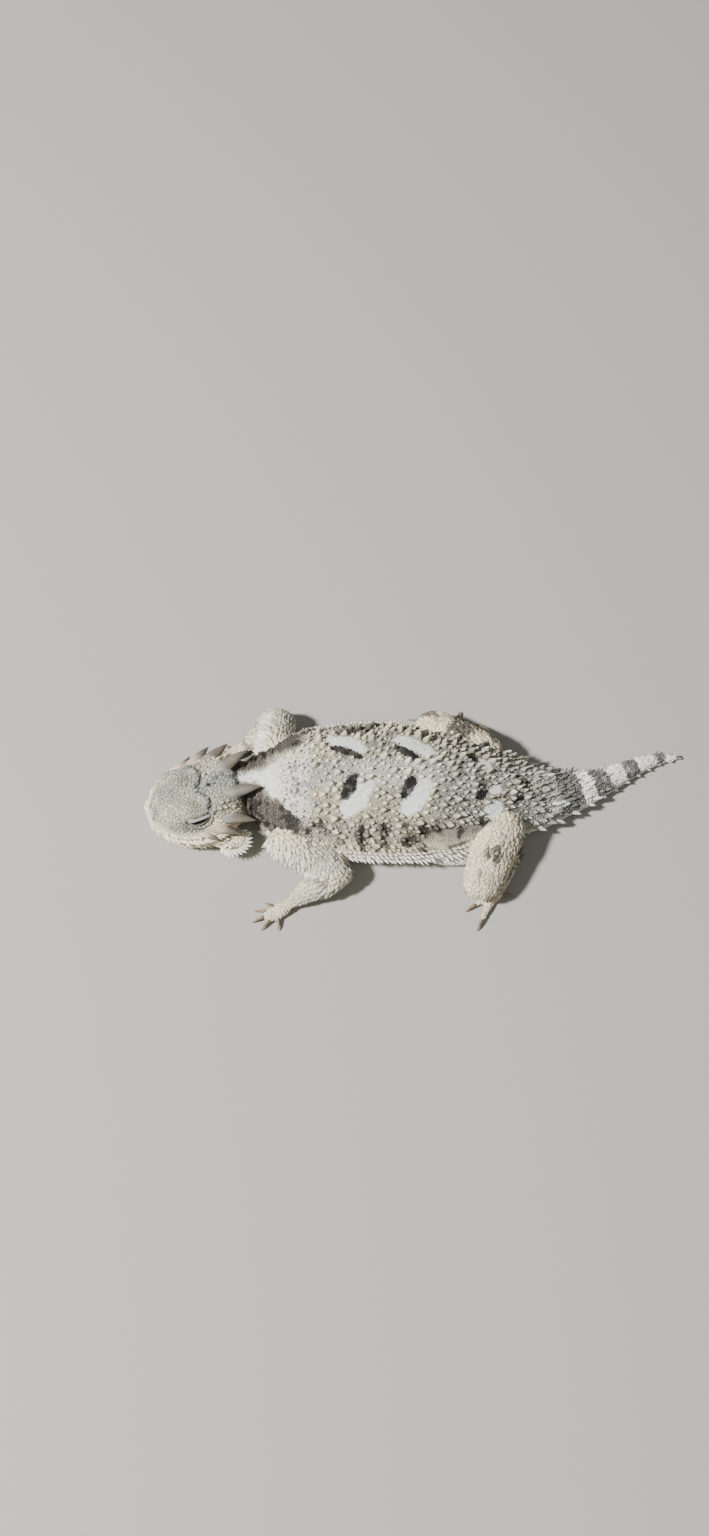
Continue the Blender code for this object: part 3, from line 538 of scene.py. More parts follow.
def relaxed(points, edges, rounds, share=0.5):
    """Points drawn toward the mean of their neighbours."""
    count = np.bincount(edges.ravel(), minlength=len(points))[:, None]
    for _ in range(rounds):
        total = np.zeros_like(points)
        for column, (near, far) in itertools.product(range(3), ((0, 1), (1, 0))):
            total[:, column] += np.bincount(edges[:, near], points[edges[:, far], column], len(points))
        points = points + (total / np.maximum(count, 1) - points) * share
    return points


def write_points(mesh, points):
    mesh.vertices.foreach_set("co", np.ascontiguousarray(points, dtype=np.float32).ravel())
    mesh.update()


# Places on the body

GRID = np.arange(TRUNK[0][0], TRUNK[-1][0] + 0.1, 0.25)
GRID_ROWS = np.array([sample(TRUNK, x) for x in GRID])
GRID_HEADINGS = np.array([spine_heading(x) for x in GRID])


def unit(vectors):
    return vectors / np.maximum(np.linalg.norm(vectors, axis=-1, keepdims=True), 1e-9)


def flattened(directions, normals):
    """Directions brought into the plane that faces along each normal."""
    return unit(directions - normals * np.sum(directions * normals, axis=1, keepdims=True))


def step_up(value, low, high):
    """0 below low, 1 above high, and smooth between."""
    t = np.clip((value - low) / (high - low), 0, 1)
    return t * t * (3 - 2 * t)


def between(value, rise, fall):
    """1 between two edges and 0 beyond them. Each edge is where it starts and where it ends."""
    return step_up(value, *rise) * (1 - step_up(value, *fall))


def peak(value, middle, width):
    """1 at the middle, and near 0 from twice this width away."""
    return np.exp(-(((value - middle) / width) ** 2))


def oval(u, v, halves):
    """How far out from the middle of an oval, 1 at its edge."""
    return np.hypot(u / halves[0], v / halves[1])


def away_from(points, place):
    return np.linalg.norm(points - np.array(place), axis=1)


def noise(points, size, seed):
    """Smooth seeded noise from -1 to 1 whose lumps are about this size."""
    cell = np.floor(points / size).astype(np.int64)
    t = points / size - cell
    t = t * t * (3 - 2 * t)
    total = np.zeros(len(points))
    for corner in np.ndindex(2, 2, 2):
        at = cell + corner
        code = (at[:, 0] * 73856093) ^ (at[:, 1] * 19349663) ^ (at[:, 2] * 83492791) ^ (seed * 7919)
        code = (code * 1103515245 + 12345) & 0x7FFFFFFF
        code = ((code ^ (code >> 13)) * 1274126177) & 0x7FFFFFFF
        weight = np.prod(np.where(corner, t, 1 - t), axis=1)
        total += weight * ((code >> 8) % 4096 / 2047.5 - 1)
    return total


def trunk_places(points):
    """x along the spine, and degrees round from the midline, the left below 0, past 90 underneath."""
    x = points[:, 0].copy()
    for _ in range(4):
        heading = np.interp(x, GRID, GRID_HEADINGS)
        ahead = (points[:, 0] - x) * np.cos(heading)
        ahead += (points[:, 1] - np.interp(x, GRID, GRID_ROWS[:, 0])) * np.sin(heading)
        x = np.clip(x + ahead * np.cos(heading), GRID[0], GRID[-1])
    heading = np.interp(x, GRID, GRID_HEADINGS)
    y, width, back, rim, belly, floor = (np.interp(x, GRID, column) for column in GRID_ROWS.T)
    lateral = (points[:, 1] - y) * np.cos(heading) - (points[:, 0] - x) * np.sin(heading)
    height = points[:, 2]
    lift = np.clip((height - rim) / (back - rim), 0, 1)
    over = np.degrees(np.arctan2(lateral / width, np.maximum(lift, 0.001)))
    drop = np.clip((rim - height) / np.maximum(rim - floor, 0.2), 0, 1)
    under = np.sign(lateral) * (90 + np.degrees(np.arcsin(drop)))
    return x, np.where(height > rim, over, under)


def head_places(points):
    """a, b and z in the head's frame."""
    level = points - np.array([*SNOUT, 0])
    return level @ np.array(HEAD_BACK), level @ np.array(HEAD_RIGHT), points[:, 2]


def limb_places(points, name, side):
    """The share of the segment's length, and how far toward the front, the outside and the top."""
    start, end = (np.array(place) for place in limb_segments(side)[name][:2])
    along = end - start
    length = np.linalg.norm(along)
    along = along / length
    out = points - start
    share = out @ along / length
    out = unit(out - np.outer(out @ along, along))
    return share, -out[:, 0], side * out[:, 1], out[:, 2]


def dome_places(a, b, z):
    """How far out from the dome over this eye, 1 at its edge, and where that edge is creased."""
    ahead, outward = (a - 8.3) / 4.9, (b - 3.4) / 3.6
    share = step_up(ahead - 0.6 * outward, 0.1, 0.8) * step_up(z, 9.0, 10.5) * step_up(b, 0.2, 0.6)
    return np.hypot(ahead, outward), share


def slit_frame(side):
    """The middle of the slit between the lids, and its directions: along, across and out."""
    out = gaze(side)
    return on_head(EYE_SEAT, side) + out * SLIT_OUT, HEAD_BACK, out.cross(HEAD_BACK), out


def slit_places(points, side):
    """Each point from the middle of the slit: along it, across it, and outward."""
    middle, back, across, out = (np.array(part) for part in slit_frame(side))
    local = points - middle
    u, v, w = local @ back, local @ across, local @ out
    return u, v - 0.1 * (u * u - 1), w


def horn_ends(side, root, tip):
    """A horn's root and tip on this side of the head."""
    return [head_point(a, side * b, z) for a, b, z in (root, tip)]


def within_horns(points, margin):
    """True where a point lies inside a horn of the head, or nearer to it than the margin."""
    inside = np.zeros(len(points), dtype=bool)
    for side, (root, tip, wide, thick) in itertools.product(SIDES, HORNS.values()):
        start, end = (np.array(place) for place in horn_ends(side, root, tip))
        length = np.linalg.norm(end - start)
        along = (end - start) / length
        ahead = (points - start) @ along
        away = np.linalg.norm(points - start - np.outer(ahead, along), axis=1)
        reach = max(wide, thick) * (1 - 0.5 * step_up(ahead / length, 0, 1)) + margin
        inside |= (ahead > -0.3 * length) & (away < reach)
    return inside


def by_form(regions):
    """For each region, its places, and its form: trunk, head, or a limb's segment with its side."""
    for name in set(regions):
        if name in ("torso", "tail", "neck"):
            form, side = "trunk", 0
        elif name in ("head", "fold"):
            form, side = "head", 0
        else:
            form, word = name.rsplit("_", 1)
            side = LEFT if word == "left" else RIGHT
        yield regions == name, form, side


def lies_of(points, normals, regions):
    """The direction along the skin that a scale's tip points, toward the tail or the toes."""
    lies = np.empty_like(points)
    for chosen, form, side in by_form(regions):
        if form == "trunk":
            heading = np.interp(trunk_places(points[chosen])[0], GRID, GRID_HEADINGS)
            lies[chosen] = np.stack([np.cos(heading), np.sin(heading), 0 * heading], axis=1)
        elif form == "head":
            lies[chosen] = HEAD_BACK
        else:
            start, end = limb_segments(side)[form][:2]
            lies[chosen] = Vector(end) - Vector(start)
    return flattened(lies, normals)


def unwrapped(points, regions):
    """Each place on a flat layout of the body: a strip for the trunk, and a box for each other region."""
    spots = np.empty((len(points), 2))
    boxes = sorted(itertools.product(limb_segments(LEFT), SIDES))
    for chosen, form, side in by_form(regions):
        some = points[chosen]
        if form == "trunk":
            x, turn = trunk_places(some)
            u, v = (x - GRID[0]) / (GRID[-1] - GRID[0]), (turn + 180) / 360
            low, size = (0.01, 0.01), (0.98, 0.54)
        elif form == "head":
            a, b, z = head_places(some)
            u, v = a / 22, (np.arctan2(b, z - 7) + math.pi) / (2 * math.pi)
            low, size = (0.01, 0.57), (0.32, 0.42)
        else:
            share, front, outside, top = limb_places(some, form, side)
            u, v = (share + 0.2) / 1.6, (np.arctan2(outside + 0.3 * front, top) + math.pi) / (2 * math.pi)
            row, column = divmod(boxes.index((form, side)), 4)
            low, size = (0.35 + 0.16 * column, 0.57 + 0.14 * row), (0.15, 0.13)
        spots[chosen] = np.array(low) + np.array(size) * np.clip(np.stack([u, v], axis=1), 0, 1)
    return spots


# Markings


def on_patch(points, x, turn, patch):
    """1 inside an oval patch on the trunk and 0 outside, with a ragged edge."""
    (x0, turn0), halves, slant = patch
    ahead, round_ = x - x0, (turn - turn0) * 0.25
    slant = math.radians(slant)
    u = ahead * math.cos(slant) + round_ * math.sin(slant)
    v = round_ * math.cos(slant) - ahead * math.sin(slant)
    away = oval(u, v, halves) + 0.17 * noise(points, 1.6, 3) + 0.14 * noise(points, 0.8, 4)
    return 1 - step_up(away, 0.88, 1.12)


def on_patches(points, x, turn, patches):
    """1 inside any of these patches and 0 outside."""
    return np.max([on_patch(points, x, turn, patch) for patch in patches], axis=0)


def on_nape(points, x, turn):
    """1 on the pale patch of the nape."""
    places, left, right = np.array(NAPE).T
    left, right = np.interp(x, places, left), np.interp(x, places, right)
    ragged = 4 * noise(points, 1.4, 5)
    inside = between(turn + ragged, (left - 3, left + 3), (right - 3, right + 3))
    return inside * (1 - step_up(x + 0.4 * ragged, places[-1] - 1.5, places[-1] + 0.5))


def painted(colours, *layers):
    """Colours with others laid over them in turn. Each layer is a colour and its share."""
    for colour, share in layers:
        colours = colours + (np.array(colour) - colours) * np.clip(share, 0, 1)[:, None]
    return colours


def trunk_colours(points):
    x, turn = trunk_places(points)
    off = abs(turn)
    fine, middle, broad = noise(points, 0.9, 11), noise(points, 2.4, 12), noise(points, 7, 13)
    spine = (1 - step_up(abs(turn + 1), 9, 17)) * between(x, (-26, -20), (6, 16))
    low = between(off, (36, 48), (72, 84))
    low_front = low * (1 - step_up(x, 6, 14))
    rim = step_up(off, 64, 76) * between(x, (-28, -24), (22, 26))
    rump = between(x, (5, 13), (27, 31)) * (1 - step_up(off, 50, 62))
    sides = step_up(off, 20, 40) * (1 - step_up(x, -28, -23)) * (1 - 0.8 * step_up(off, 72, 84))
    nape = on_nape(points, x, turn)
    nape_rear = nape * step_up(x, -32, -28)
    colours = painted(
        np.tile(SAND, (len(points), 1)),
        (CREAM, 0.55 + 0.5 * middle - 0.5 * step_up(x, 0, 14)),
        (WHITE, spine * 0.45),
        (GREY, 0.22 + 0.6 * broad + 0.3 * fine),
        (PINK, low_front * (0.6 + 0.4 * broad)),
        (BROWN, low_front * (0.15 + 1.3 * middle + 0.6 * fine)),
        (CREAM, rim * (0.75 - 0.9 * np.maximum(fine + middle, 0))),
        (BROWN, rump * (0.2 + 0.9 * middle + 0.3 * fine)),
        (DARK, low * step_up(middle + 0.5 * fine, 0.35, 0.6) * 0.7),
        (BROWN, (1 - step_up(x, -35, -31)) * step_up(off, 8, 20)),
        (BROWN, sides * 1.1),
        (DARK, sides * step_up(fine + middle, 0.0, 0.35) * 0.9),
        (WHITE, nape * (0.9 + 0.25 * fine)),
        (CREAM, nape_rear * (0.35 + 0.5 * middle)),
        (GREY, nape_rear * step_up(fine - middle, 0.3, 0.8) * 0.6),
        (SAND, step_up(x, 26, 30) * (0.5 + 0.5 * middle)),
        (TAIL_WHITE, step_up(x, 34, 37) * (0.85 + 0.3 * middle)),
    )
    ragged = x + 0.5 * noise(points, 1.2, 15) + 0.3 * fine
    for start, end in TAIL_BANDS:
        ring = between(ragged, (start - 0.3, start + 0.3), (end - 0.3, end + 0.3))
        colours = painted(colours, (RING, ring * (1.0 + 0.3 * fine) * step_up(112 - off, 0, 20)))
    for patch in PALE_PATCHES:
        colours = painted(colours, (WHITE, on_patch(points, x, turn, patch)))
    for patch in DARK_BLOTCHES:
        colours = painted(colours, (DARK, on_patch(points, x, turn, patch) * (1.0 + 0.25 * fine)))
    belly = step_up(off, 82, 94) * step_up(x, -33, -28)
    return painted(colours, (WHITE, belly * (0.95 + 0.2 * middle)))


def head_colours(points):
    a, b, z = head_places(points)
    off = abs(b)
    fine, middle = noise(points, 0.7, 21), noise(points, 2.2, 22)
    cheek = step_up(off, 5.2, 7.0) * step_up(a, 9, 12) * (1 - step_up(z, 9.5, 11))
    temple = step_up(off, 6.3, 7.5) * step_up(a, 11.5, 13.5) * between(z, (4.5, 5.5), (7.8, 9.2))
    colours = painted(
        np.tile(CREST, (len(points), 1)),
        (CREAM, 0.3 + 0.5 * middle),
        (GREY, step_up(fine + middle, 0.45, 0.8) * 0.6),
        (CREAM, cheek),
        (PEACH, temple * (0.6 + 0.6 * middle)),
        (JAW_WHITE, (1 - step_up(z, 6.6, 8.6)) * (1 - step_up(a, 8, 12)) * 0.85),
        (JAW_WHITE, (1 - step_up(z, 4.0, 5.6)) * 0.8),
    )
    for side in SIDES:
        away, share = dome_places(a, side * b, z)
        colours = painted(
            colours,
            (LID, (1 - step_up(away_from(points, slit_frame(side)[0]), 2.3, 3.4)) * 0.6),
            # Painted shade in the crease round the dome over each eye.
            (BROWN, peak(away, 1.05, 0.07) * share * 0.85),
        )
    crown = (1 - step_up(off, 1.5, 3.0)) * step_up(a, 10, 12) * step_up(z, 10.5, 11.5)
    pineal = 1 - step_up(np.hypot(a - PINEAL[0], b - PINEAL[1]), 0.4, 0.55)
    fold = (1 - step_up(z, 4.6, 5.2)) * step_up(a, 12, 14) * step_up(off, 6, 8)
    return painted(
        colours,
        (CROWN, crown * 0.7),
        (DARK, crown * step_up(fine, 0.35, 0.7) * 0.6),
        (DARK, pineal * step_up(z, 10, 11)),
        (BROWN, step_up(a, 18.5, 20.5) * step_up(off, 1.2, 2.4) * 0.8),
        (SAND, fold * (0.4 + 0.6 * fine)),
    )


def limb_colours(points, name, side):
    share, front, outside, top = limb_places(points, name, side)
    fine, middle = noise(points, 0.8, 31), noise(points, 2.3, 32)
    both = fine + middle
    layers = [(WHITE, 0.1 + 0.5 * middle)]
    if name == "upper_arm":
        grey = step_up(share, 0.3, 0.55) * step_up(top, 0.1, 0.6) + step_up(-front, 0.2, 0.7) * 0.6
        layers.append((SAND, grey * (0.7 + 0.4 * fine)))
        layers.append((WHITE, step_up(front, 0.2, 0.6) * 0.6))
        layers.append((BROWN, step_up(both, 0.55, 0.8) * grey * 0.7))
    elif name == "forearm":
        layers.append((SAND, 0.5 + 0.5 * middle))
        layers.append((BROWN, step_up(both, 0.5, 0.8) * 0.6))
    elif name == "thigh":
        band = (1 - step_up(abs(share - 0.6), 0.1, 0.18)) * between(-front, (-0.6, -0.25), (0.4, 0.7))
        layers.append((CREAM, 0.4 + 0.5 * middle))
        layers.append((PEACH, step_up(share, 0.7, 1.0) * (0.3 + 0.5 * fine)))
        layers.append((SAND, (0.05 + 0.5 * middle) * step_up(top, 0.0, 0.5)))
        layers.append((GREY, step_up(-front, 0.2, 0.7) * (0.35 + 0.5 * fine)))
        layers.append((BROWN, band * step_up(top, 0.0, 0.4) * step_up(fine, -0.55, 0.0)))
        layers.append((BROWN, step_up(both, 0.7, 1.0) * 0.5))
        if side == RIGHT:
            layers.append((BROWN, step_up(middle + 0.4 * fine, -0.1, 0.3) * 0.9))
    elif name == "shin":
        layers.append((BROWN, step_up(both, -0.8, 0.0) * 0.9))
    else:
        layers.append((PEACH, 0.35 + 0.3 * fine))
    return painted(np.tile(CREAM, (len(points), 1)), *layers)


def markings(points, regions):
    """The colour of the scales at these places, each in its region of the body."""
    colours = np.empty((len(points), 3))
    for chosen, form, side in by_form(regions):
        some = points[chosen]
        if form == "trunk":
            colours[chosen] = trunk_colours(some)
        elif form == "head":
            colours[chosen] = head_colours(some)
        else:
            colours[chosen] = limb_colours(some, form, side)
    return colours


def lid_colours(points, colours):
    """The skin's colours with the bare grey lids, and painted shade along the slit, in the lids' folds and
    in the nostrils.
    """
    for side in SIDES:
        u, v, w = slit_places(points, side)
        near = (abs(w) < EYE_DEPTH) * 1.0
        lids = oval(u, v, LIDS)
        hole = away_from(points, on_head(NOSTRIL, side))
        colours = painted(
            colours,
            (LID, (1 - step_up(lids, 1.1, 1.25)) * near),
            # Painted shade in the lids' fold, in the slit's pit and in each nostril.
            (BROWN, peak(lids, 1.06, 0.1) * near * 0.6),
            (DARK, (1 - step_up(oval(u, v, OPENING), 1.2, 1.6)) * near),
            (DARK, 1 - step_up(hole, NOSTRIL_RADIUS * 0.8, NOSTRIL_RADIUS * 1.4)),
        )
    return colours


def groove_shade(colours):
    """The colour between scales with painted shade: darker, and less so where the scales are pale."""
    return colours * (0.62 + 0.28 * step_up(colours.mean(axis=1), 0.4, 0.6))[:, None]


class Skin:
    """The skin's mesh, with what the scales need to know of it."""

    def __init__(self):
        points, faces, regions = join_rings(body_parts())
        source = BVHTree.FromPolygons(points, faces)
        mesh = remeshed(points, faces)
        write_points(mesh, relaxed(read_mesh(mesh)[0], ends_of_edges(mesh), SMOOTHING))
        refine_head(mesh)
        spots, quads = read_mesh(mesh)
        spots = relaxed(spots, ends_of_edges(mesh), 2)
        self.regions = np.array([regions[source.find_nearest(Vector(spot))[2]] for spot in spots])
        write_points(mesh, spots)
        spots = shaped(spots, normals_of(mesh), self.regions)
        spots[:, 2] = np.maximum(spots[:, 2], LOWEST_SKIN)
        write_points(mesh, spots)
        self.mesh = mesh
        self.points = spots
        self.normals = normals_of(mesh)
        fans = [[(face[0], face[k], face[k + 1]) for k in range(1, len(face) - 1)] for face in quads]
        self.corners = np.array([corners for fan in fans for corners in fan])
        self.tree = BVHTree.FromPolygons([Vector(spot) for spot in spots], quads)
        self.kd = tree_of(spots)

    def seat(self, origin, out):
        """Where a line from inside leaves the skin, and the skin's normal there."""
        hit, normal, face, distance = self.tree.ray_cast(Vector(origin), Vector(out))
        return (hit, normal) if hit else (None, None)


def ends_of_edges(mesh):
    return read_all(mesh.edges, "vertices", 2, np.int64)


def normals_of(mesh):
    return read_all(mesh.vertices, "normal", 3)


def tree_of(points):
    """A tree that finds the nearest of these points."""
    tree = KDTree(len(points))
    for i, point in enumerate(points):
        tree.insert(point, i)
    tree.balance()
    return tree


def refine_head(mesh):
    """Halves the mesh's spacing on the head, and once more around the eyes."""
    bm = bmesh.new()
    bm.from_mesh(mesh)
    for around_eyes in (False, True):
        bm.verts.index_update()
        points = np.array([vert.co for vert in bm.verts])
        a, b, z = head_places(points)
        near = (a < HEAD_END + 0.5) & (abs(b) < FINE_HEAD)
        if around_eyes:
            near = np.min([away_from(points, slit_frame(side)[0]) for side in SIDES], axis=0) < FINE_EYE
        edges = [edge for edge in bm.edges if all(near[vert.index] for vert in edge.verts)]
        bmesh.ops.subdivide_edges(bm, edges=edges, cuts=1, use_grid_fill=True)
    bmesh.ops.triangulate(bm, faces=[face for face in bm.faces if len(face.verts) > 4])
    bm.to_mesh(mesh)
    bm.free()


def shaped(points, normals, regions):
    """The skin set in for the scales, with its folds, lids, nostrils and line of the mouth."""
    rise = np.full(len(points), -INSET)
    rise += 0.16 * noise(points, 3.2, 41) + 0.05 * noise(points, 1.2, 42)
    x, turn = trunk_places(points)
    off = abs(turn)
    trunk = np.isin(regions, ("torso", "neck"))
    neck = trunk * (1 - step_up(x, -33, -29)) * step_up(off, 15, 35)
    rise += neck * 0.3 * np.sin(x * 3.4 + 1.5 * noise(points, 3, 43))
    flank = trunk * step_up(off, 60, 78) * (1 - step_up(off, 96, 110)) * step_up(x, 0, 4)
    rise += flank * 0.16 * np.sin(turn * 0.55 + x * 0.8 + 2 * noise(points, 2.5, 44))
    rise *= 1 - step_up(off, 92, 100) * trunk
    head = regions == "head"
    sunk = np.zeros_like(points)
    a, b, z = head_places(points)
    rise[head] = -INSET + 0.06 * noise(points[head], 1.5, 45)
    over_lip = z - np.interp(a, [row[0] for row in SKULL], [row[7] for row in SKULL])
    rise -= 0.5 * (peak(over_lip, 0, 0.24) * (1 - step_up(a, 15, 16.5)) * head)
    for place, height in ((0.75, 0.22), (-0.75, 0.18)):
        rise += height * peak(over_lip, place, 0.4) * (1 - step_up(a, 14, 16)) * head
    for side in SIDES:
        nostril = away_from(points, on_head(NOSTRIL, side))
        rise -= 0.55 * peak(nostril, 0, 0.42) * head
        rise += 0.12 * peak(nostril, 0.75, 0.25) * head
        away, share = dome_places(a, side * b, z)
        rise -= 0.55 * peak(away, 1.05, 0.07) * share * head
        rise += 0.22 * peak(away, 0.84, 0.12) * share * head
        u, v, w = slit_places(points, side)
        near = (abs(w) < EYE_DEPTH) & head
        for height, halves, place, breadth in LID_FOLDS:
            rise += np.where(near, height * peak(oval(u, v, halves), place, breadth), 0)
        pit = 1 - step_up(oval(u, v, OPENING), 0.6, 1.1)
        sunk += np.outer(np.where(near & (w > -1.6), 1.4 * pit, 0), slit_frame(side)[3])
    return points + normals * rise[:, None] - sunk


# Scales


def scatter(skin, spacing, rng):
    """Places spread over the skin, none closer to another than the spacing there, which is 0 for none."""
    corners = skin.corners
    gap = spacing[corners].mean(axis=1)
    gap[(spacing[corners] <= 0).any(axis=1)] = 0
    first, second, third = (skin.points[corners[:, k]] for k in range(3))
    areas = np.linalg.norm(np.cross(second - first, third - first), axis=1) / 2
    weights = np.where(gap > 0, areas / np.maximum(gap, 0.1) ** 2, 0)
    count = int(weights.sum() * TRIES)
    chosen = rng.choice(len(corners), count, p=weights / weights.sum())
    u, v = rng.random(count), rng.random(count)
    flip = u + v > 1
    u[flip], v[flip] = 1 - u[flip], 1 - v[flip]
    shares = (1 - u - v, u, v)
    points, normals = (
        sum(values[corners[chosen, k]] * shares[k][:, None] for k in range(3))
        for values in (skin.points, skin.normals)
    )
    gaps = gap[chosen]
    keys = np.floor(points / gaps.max()).astype(int)
    offsets = list(itertools.product((-1, 0, 1), repeat=3))
    held, kept = {}, []
    for i, ((x, y, z), (kx, ky, kz), limit) in enumerate(zip(points, keys, gaps**2)):
        others = (spot for dx, dy, dz in offsets for spot in held.get((kx + dx, ky + dy, kz + dz), ()))
        if all((px - x) ** 2 + (py - y) ** 2 + (pz - z) ** 2 >= limit for px, py, pz in others):
            held.setdefault((kx, ky, kz), []).append((x, y, z))
            kept.append(i)
    seats = points[kept], unit(normals)[kept], skin.regions[corners[chosen[kept], 0]]
    return seats, gaps[kept]


def kept_seats(keep, *parts):
    """The chosen rows of each part."""
    return tuple(part[keep] for part in parts)


def cell_outlines(seats, lies, gaps, sides, fill):
    """The outline of each scale, pressed to a many-sided shape by its neighbours."""
    points, normals, regions = seats
    tree = tree_of(points)
    across = np.cross(normals, lies)
    turns = np.array(turns_of(sides))
    reach = np.tile(gaps[:, None] * 0.86, (1, sides))
    near = [[found[1] for found in tree.find_n(point, 10)][1:] for point in points]
    near = np.array([row + [row[-1]] * (9 - len(row)) for row in near])
    for column in near.T:
        away = points[column] - points
        u, v = np.sum(away * lies, axis=1), np.sum(away * across, axis=1)
        facing = np.cos(turns[None, :] - np.arctan2(v, u)[:, None])
        limit = np.where(facing > 0.05, np.hypot(u, v)[:, None] / 2 / np.maximum(facing, 0.05), 99)
        reach = np.minimum(reach, np.maximum(limit, gaps[:, None] * 0.2))
    reach = reach * fill
    return np.stack([reach * np.cos(turns), reach * np.sin(turns)], axis=2)


def drop_outlines(lengths, widths, sides, point):
    """Outlines that narrow to a point along the lie."""
    turns = np.array(turns_of(sides))
    u = np.where(np.cos(turns) > 0, np.cos(turns) * (1 + point), np.cos(turns) * (1 - 0.4 * point))
    v = np.sin(turns) * (1 - 0.25 * np.cos(turns))
    return np.stack([lengths[:, None] * u, widths[:, None] * v], axis=2)


class Coat:
    """A joined mesh of scales."""

    def __init__(self, name, slot):
        self.name, self.slot = name, slot
        self.points, self.colours = [], []
        self.loops, self.totals, self.loop_spots = [], [], []
        self.count = 0

    def add(self, seats, lies, outlines, heights, rings, apex, colours, tips, keel=0.0):
        """Closed scales. A ring is a share of the outline, of the height, and a shift along the lie."""
        points, normals, regions = seats
        amount, sides = outlines.shape[:2]
        across = np.cross(normals, lies)
        length, width = outlines.max(axis=1).T
        size = np.maximum(length, width)
        layers, shades, places = [], [], []
        for share, height, shift in rings:
            edge = outlines * share
            along = edge[:, :, 0] + (shift * length)[:, None]
            ridge = 1 - abs(edge[:, :, 1]) / width[:, None] if height > 0 else 0
            rise = heights[:, None] * (height + keel * ridge * max(height, 0))
            layers.append(
                points[:, None]
                + lies[:, None] * along[:, :, None]
                + across[:, None] * edge[:, :, 1][:, :, None]
                + normals[:, None] * rise[:, :, None]
            )
            shades.append(np.full((amount, sides), min(1, max(0, height))))
            places.append(edge / size[:, None, None])
        shift, height = apex
        top = points + lies * (shift * length)[:, None] + normals * (heights * height * (1 + keel))[:, None]
        stack = np.concatenate([*layers, top[:, None]], axis=1)
        stack[:, :, 2] += np.maximum(CLEARANCE - stack[:, :, 2].min(axis=1), 0)[:, None]
        shade = np.concatenate([*shades, np.ones((amount, 1))], axis=1)
        patches = np.concatenate([*places, np.zeros((amount, 1, 2))], axis=1) * PATCH
        spots = unwrapped(points, regions)[:, None] + patches
        each = stack.shape[1]
        last = each - 1 - sides
        faces = [tuple(range(sides))[::-1], *ring_faces(len(rings), sides)]
        faces += [(last + i, last + (i + 1) % sides, each - 1) for i in range(sides)]
        corners = np.array([corner for face in faces for corner in face])
        self.points.append(stack.reshape(-1, 3))
        # Each scale's colour runs by height from the base colour to the tip colour. Callers give a darker
        # base as painted shade between the scales, and a lighter tip as painted light on the top.
        colour = colours[:, None] + (tips - colours)[:, None] * shade[:, :, None]
        self.colours.append(colour.reshape(-1, 3))
        shifts = self.count + np.arange(amount)[:, None] * each
        self.loops.append((corners[None] + shifts).ravel())
        self.totals.append(np.tile([len(face) for face in faces], amount))
        loop_spots = spots[:, corners]
        loop_spots[:, :sides] = spots[:, :1]  # the hidden base takes no room of its own
        self.loop_spots.append(loop_spots.reshape(-1, 2))
        self.count += amount * each

    def finish(self, material):
        """Makes the joined mesh, coloured and laid out for baking."""
        parts = (self.points, self.loops, self.totals)
        mesh = write_mesh(self.name, *(np.concatenate(part) for part in parts))
        colour_mesh(mesh, np.concatenate(self.colours))
        layer = mesh.uv_layers.new(name="OFBake")
        layer.uv.foreach_set("vector", np.concatenate(self.loop_spots).astype(np.float32).ravel())
        add_piece(mesh, material)


def write_mesh(name, points, loops, totals):
    """A mesh in metres from points in mm, with its faces' corners in one row."""
    mesh = bpy.data.meshes.new(name)
    mesh.vertices.add(len(points))
    mesh.loops.add(len(loops))
    mesh.polygons.add(len(totals))
    mesh.vertices.foreach_set("co", (points * MM).astype(np.float32).ravel())
    starts = np.concatenate([[0], np.cumsum(totals)[:-1]])
    mesh.polygons.foreach_set("loop_start", starts.astype(np.int32))
    mesh.loops.foreach_set("vertex_index", loops.astype(np.int32))
    mesh.polygons.foreach_set("use_smooth", np.ones(len(totals), dtype=bool))
    mesh.update(calc_edges=True)
    return mesh


def mesh_of(name, points, faces):
    """A smooth mesh in metres from points in mm and faces as rows of corners."""
    loops = np.array([corner for face in faces for corner in face])
    return write_mesh(name, np.array(points), loops, np.array([len(face) for face in faces]))


def colour_mesh(mesh, colours):
    layer = mesh.color_attributes.new(name="marking", type="FLOAT_COLOR", domain="POINT")
    rows = np.concatenate([colours, np.ones((len(colours), 1))], axis=1)
    layer.data.foreach_set("color", rows.astype(np.float32).ravel())


def add_piece(mesh, material, replaced=None):
    obj = bpy.data.objects.new(mesh.name, mesh)
    bpy.context.scene.collection.objects.link(obj)
    mesh.materials.append(material)
    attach(obj, "root")
    if replaced:
        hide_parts(*replaced)


def row_seats(skin, lines, region):
    """Seats where lines from inside leave the skin. A line is its start and its direction."""
    found = [skin.seat(origin, out) for origin, out in lines]
    found = [(spot, normal) for spot, normal in found if spot is not None]
    points, normals = (np.array([seat[k] for seat in found]) for k in range(2))
    return points, normals, np.array([region] * len(found))


def lean(normals, toward, share=1.0):
    """Directions between the normals and another direction."""
    return unit(normals + np.asarray(toward) * share)


def spikes(coat, rng, seats, lengths, width, thick, back, colour, tip, spread):
    """Sharp spines that stand along the seats' directions and bend back along the lie."""
    points, normals, regions = seats
    amount = len(points)
    colours = markings(points, regions) if colour is None else np.tile(colour, (amount, 1))
    colours = colours * rng.uniform(0.88, 1.1, (amount, 1))
    lengths = lengths * rng.uniform(1 - spread, 1 + spread, amount)
    outlines = drop_outlines(width * np.ones(amount), thick * np.ones(amount), 8, 0.15)
    lies = lies_of(points, normals, regions)
    seats = points - normals * 0.1, normals, regions
    # Darker base and lighter tip: painted shade between the spines and painted light on their tops.
    coat.add(seats, lies, outlines, lengths, SPINE_RINGS, (back, 1.0), colours * 0.8, colours * tip)


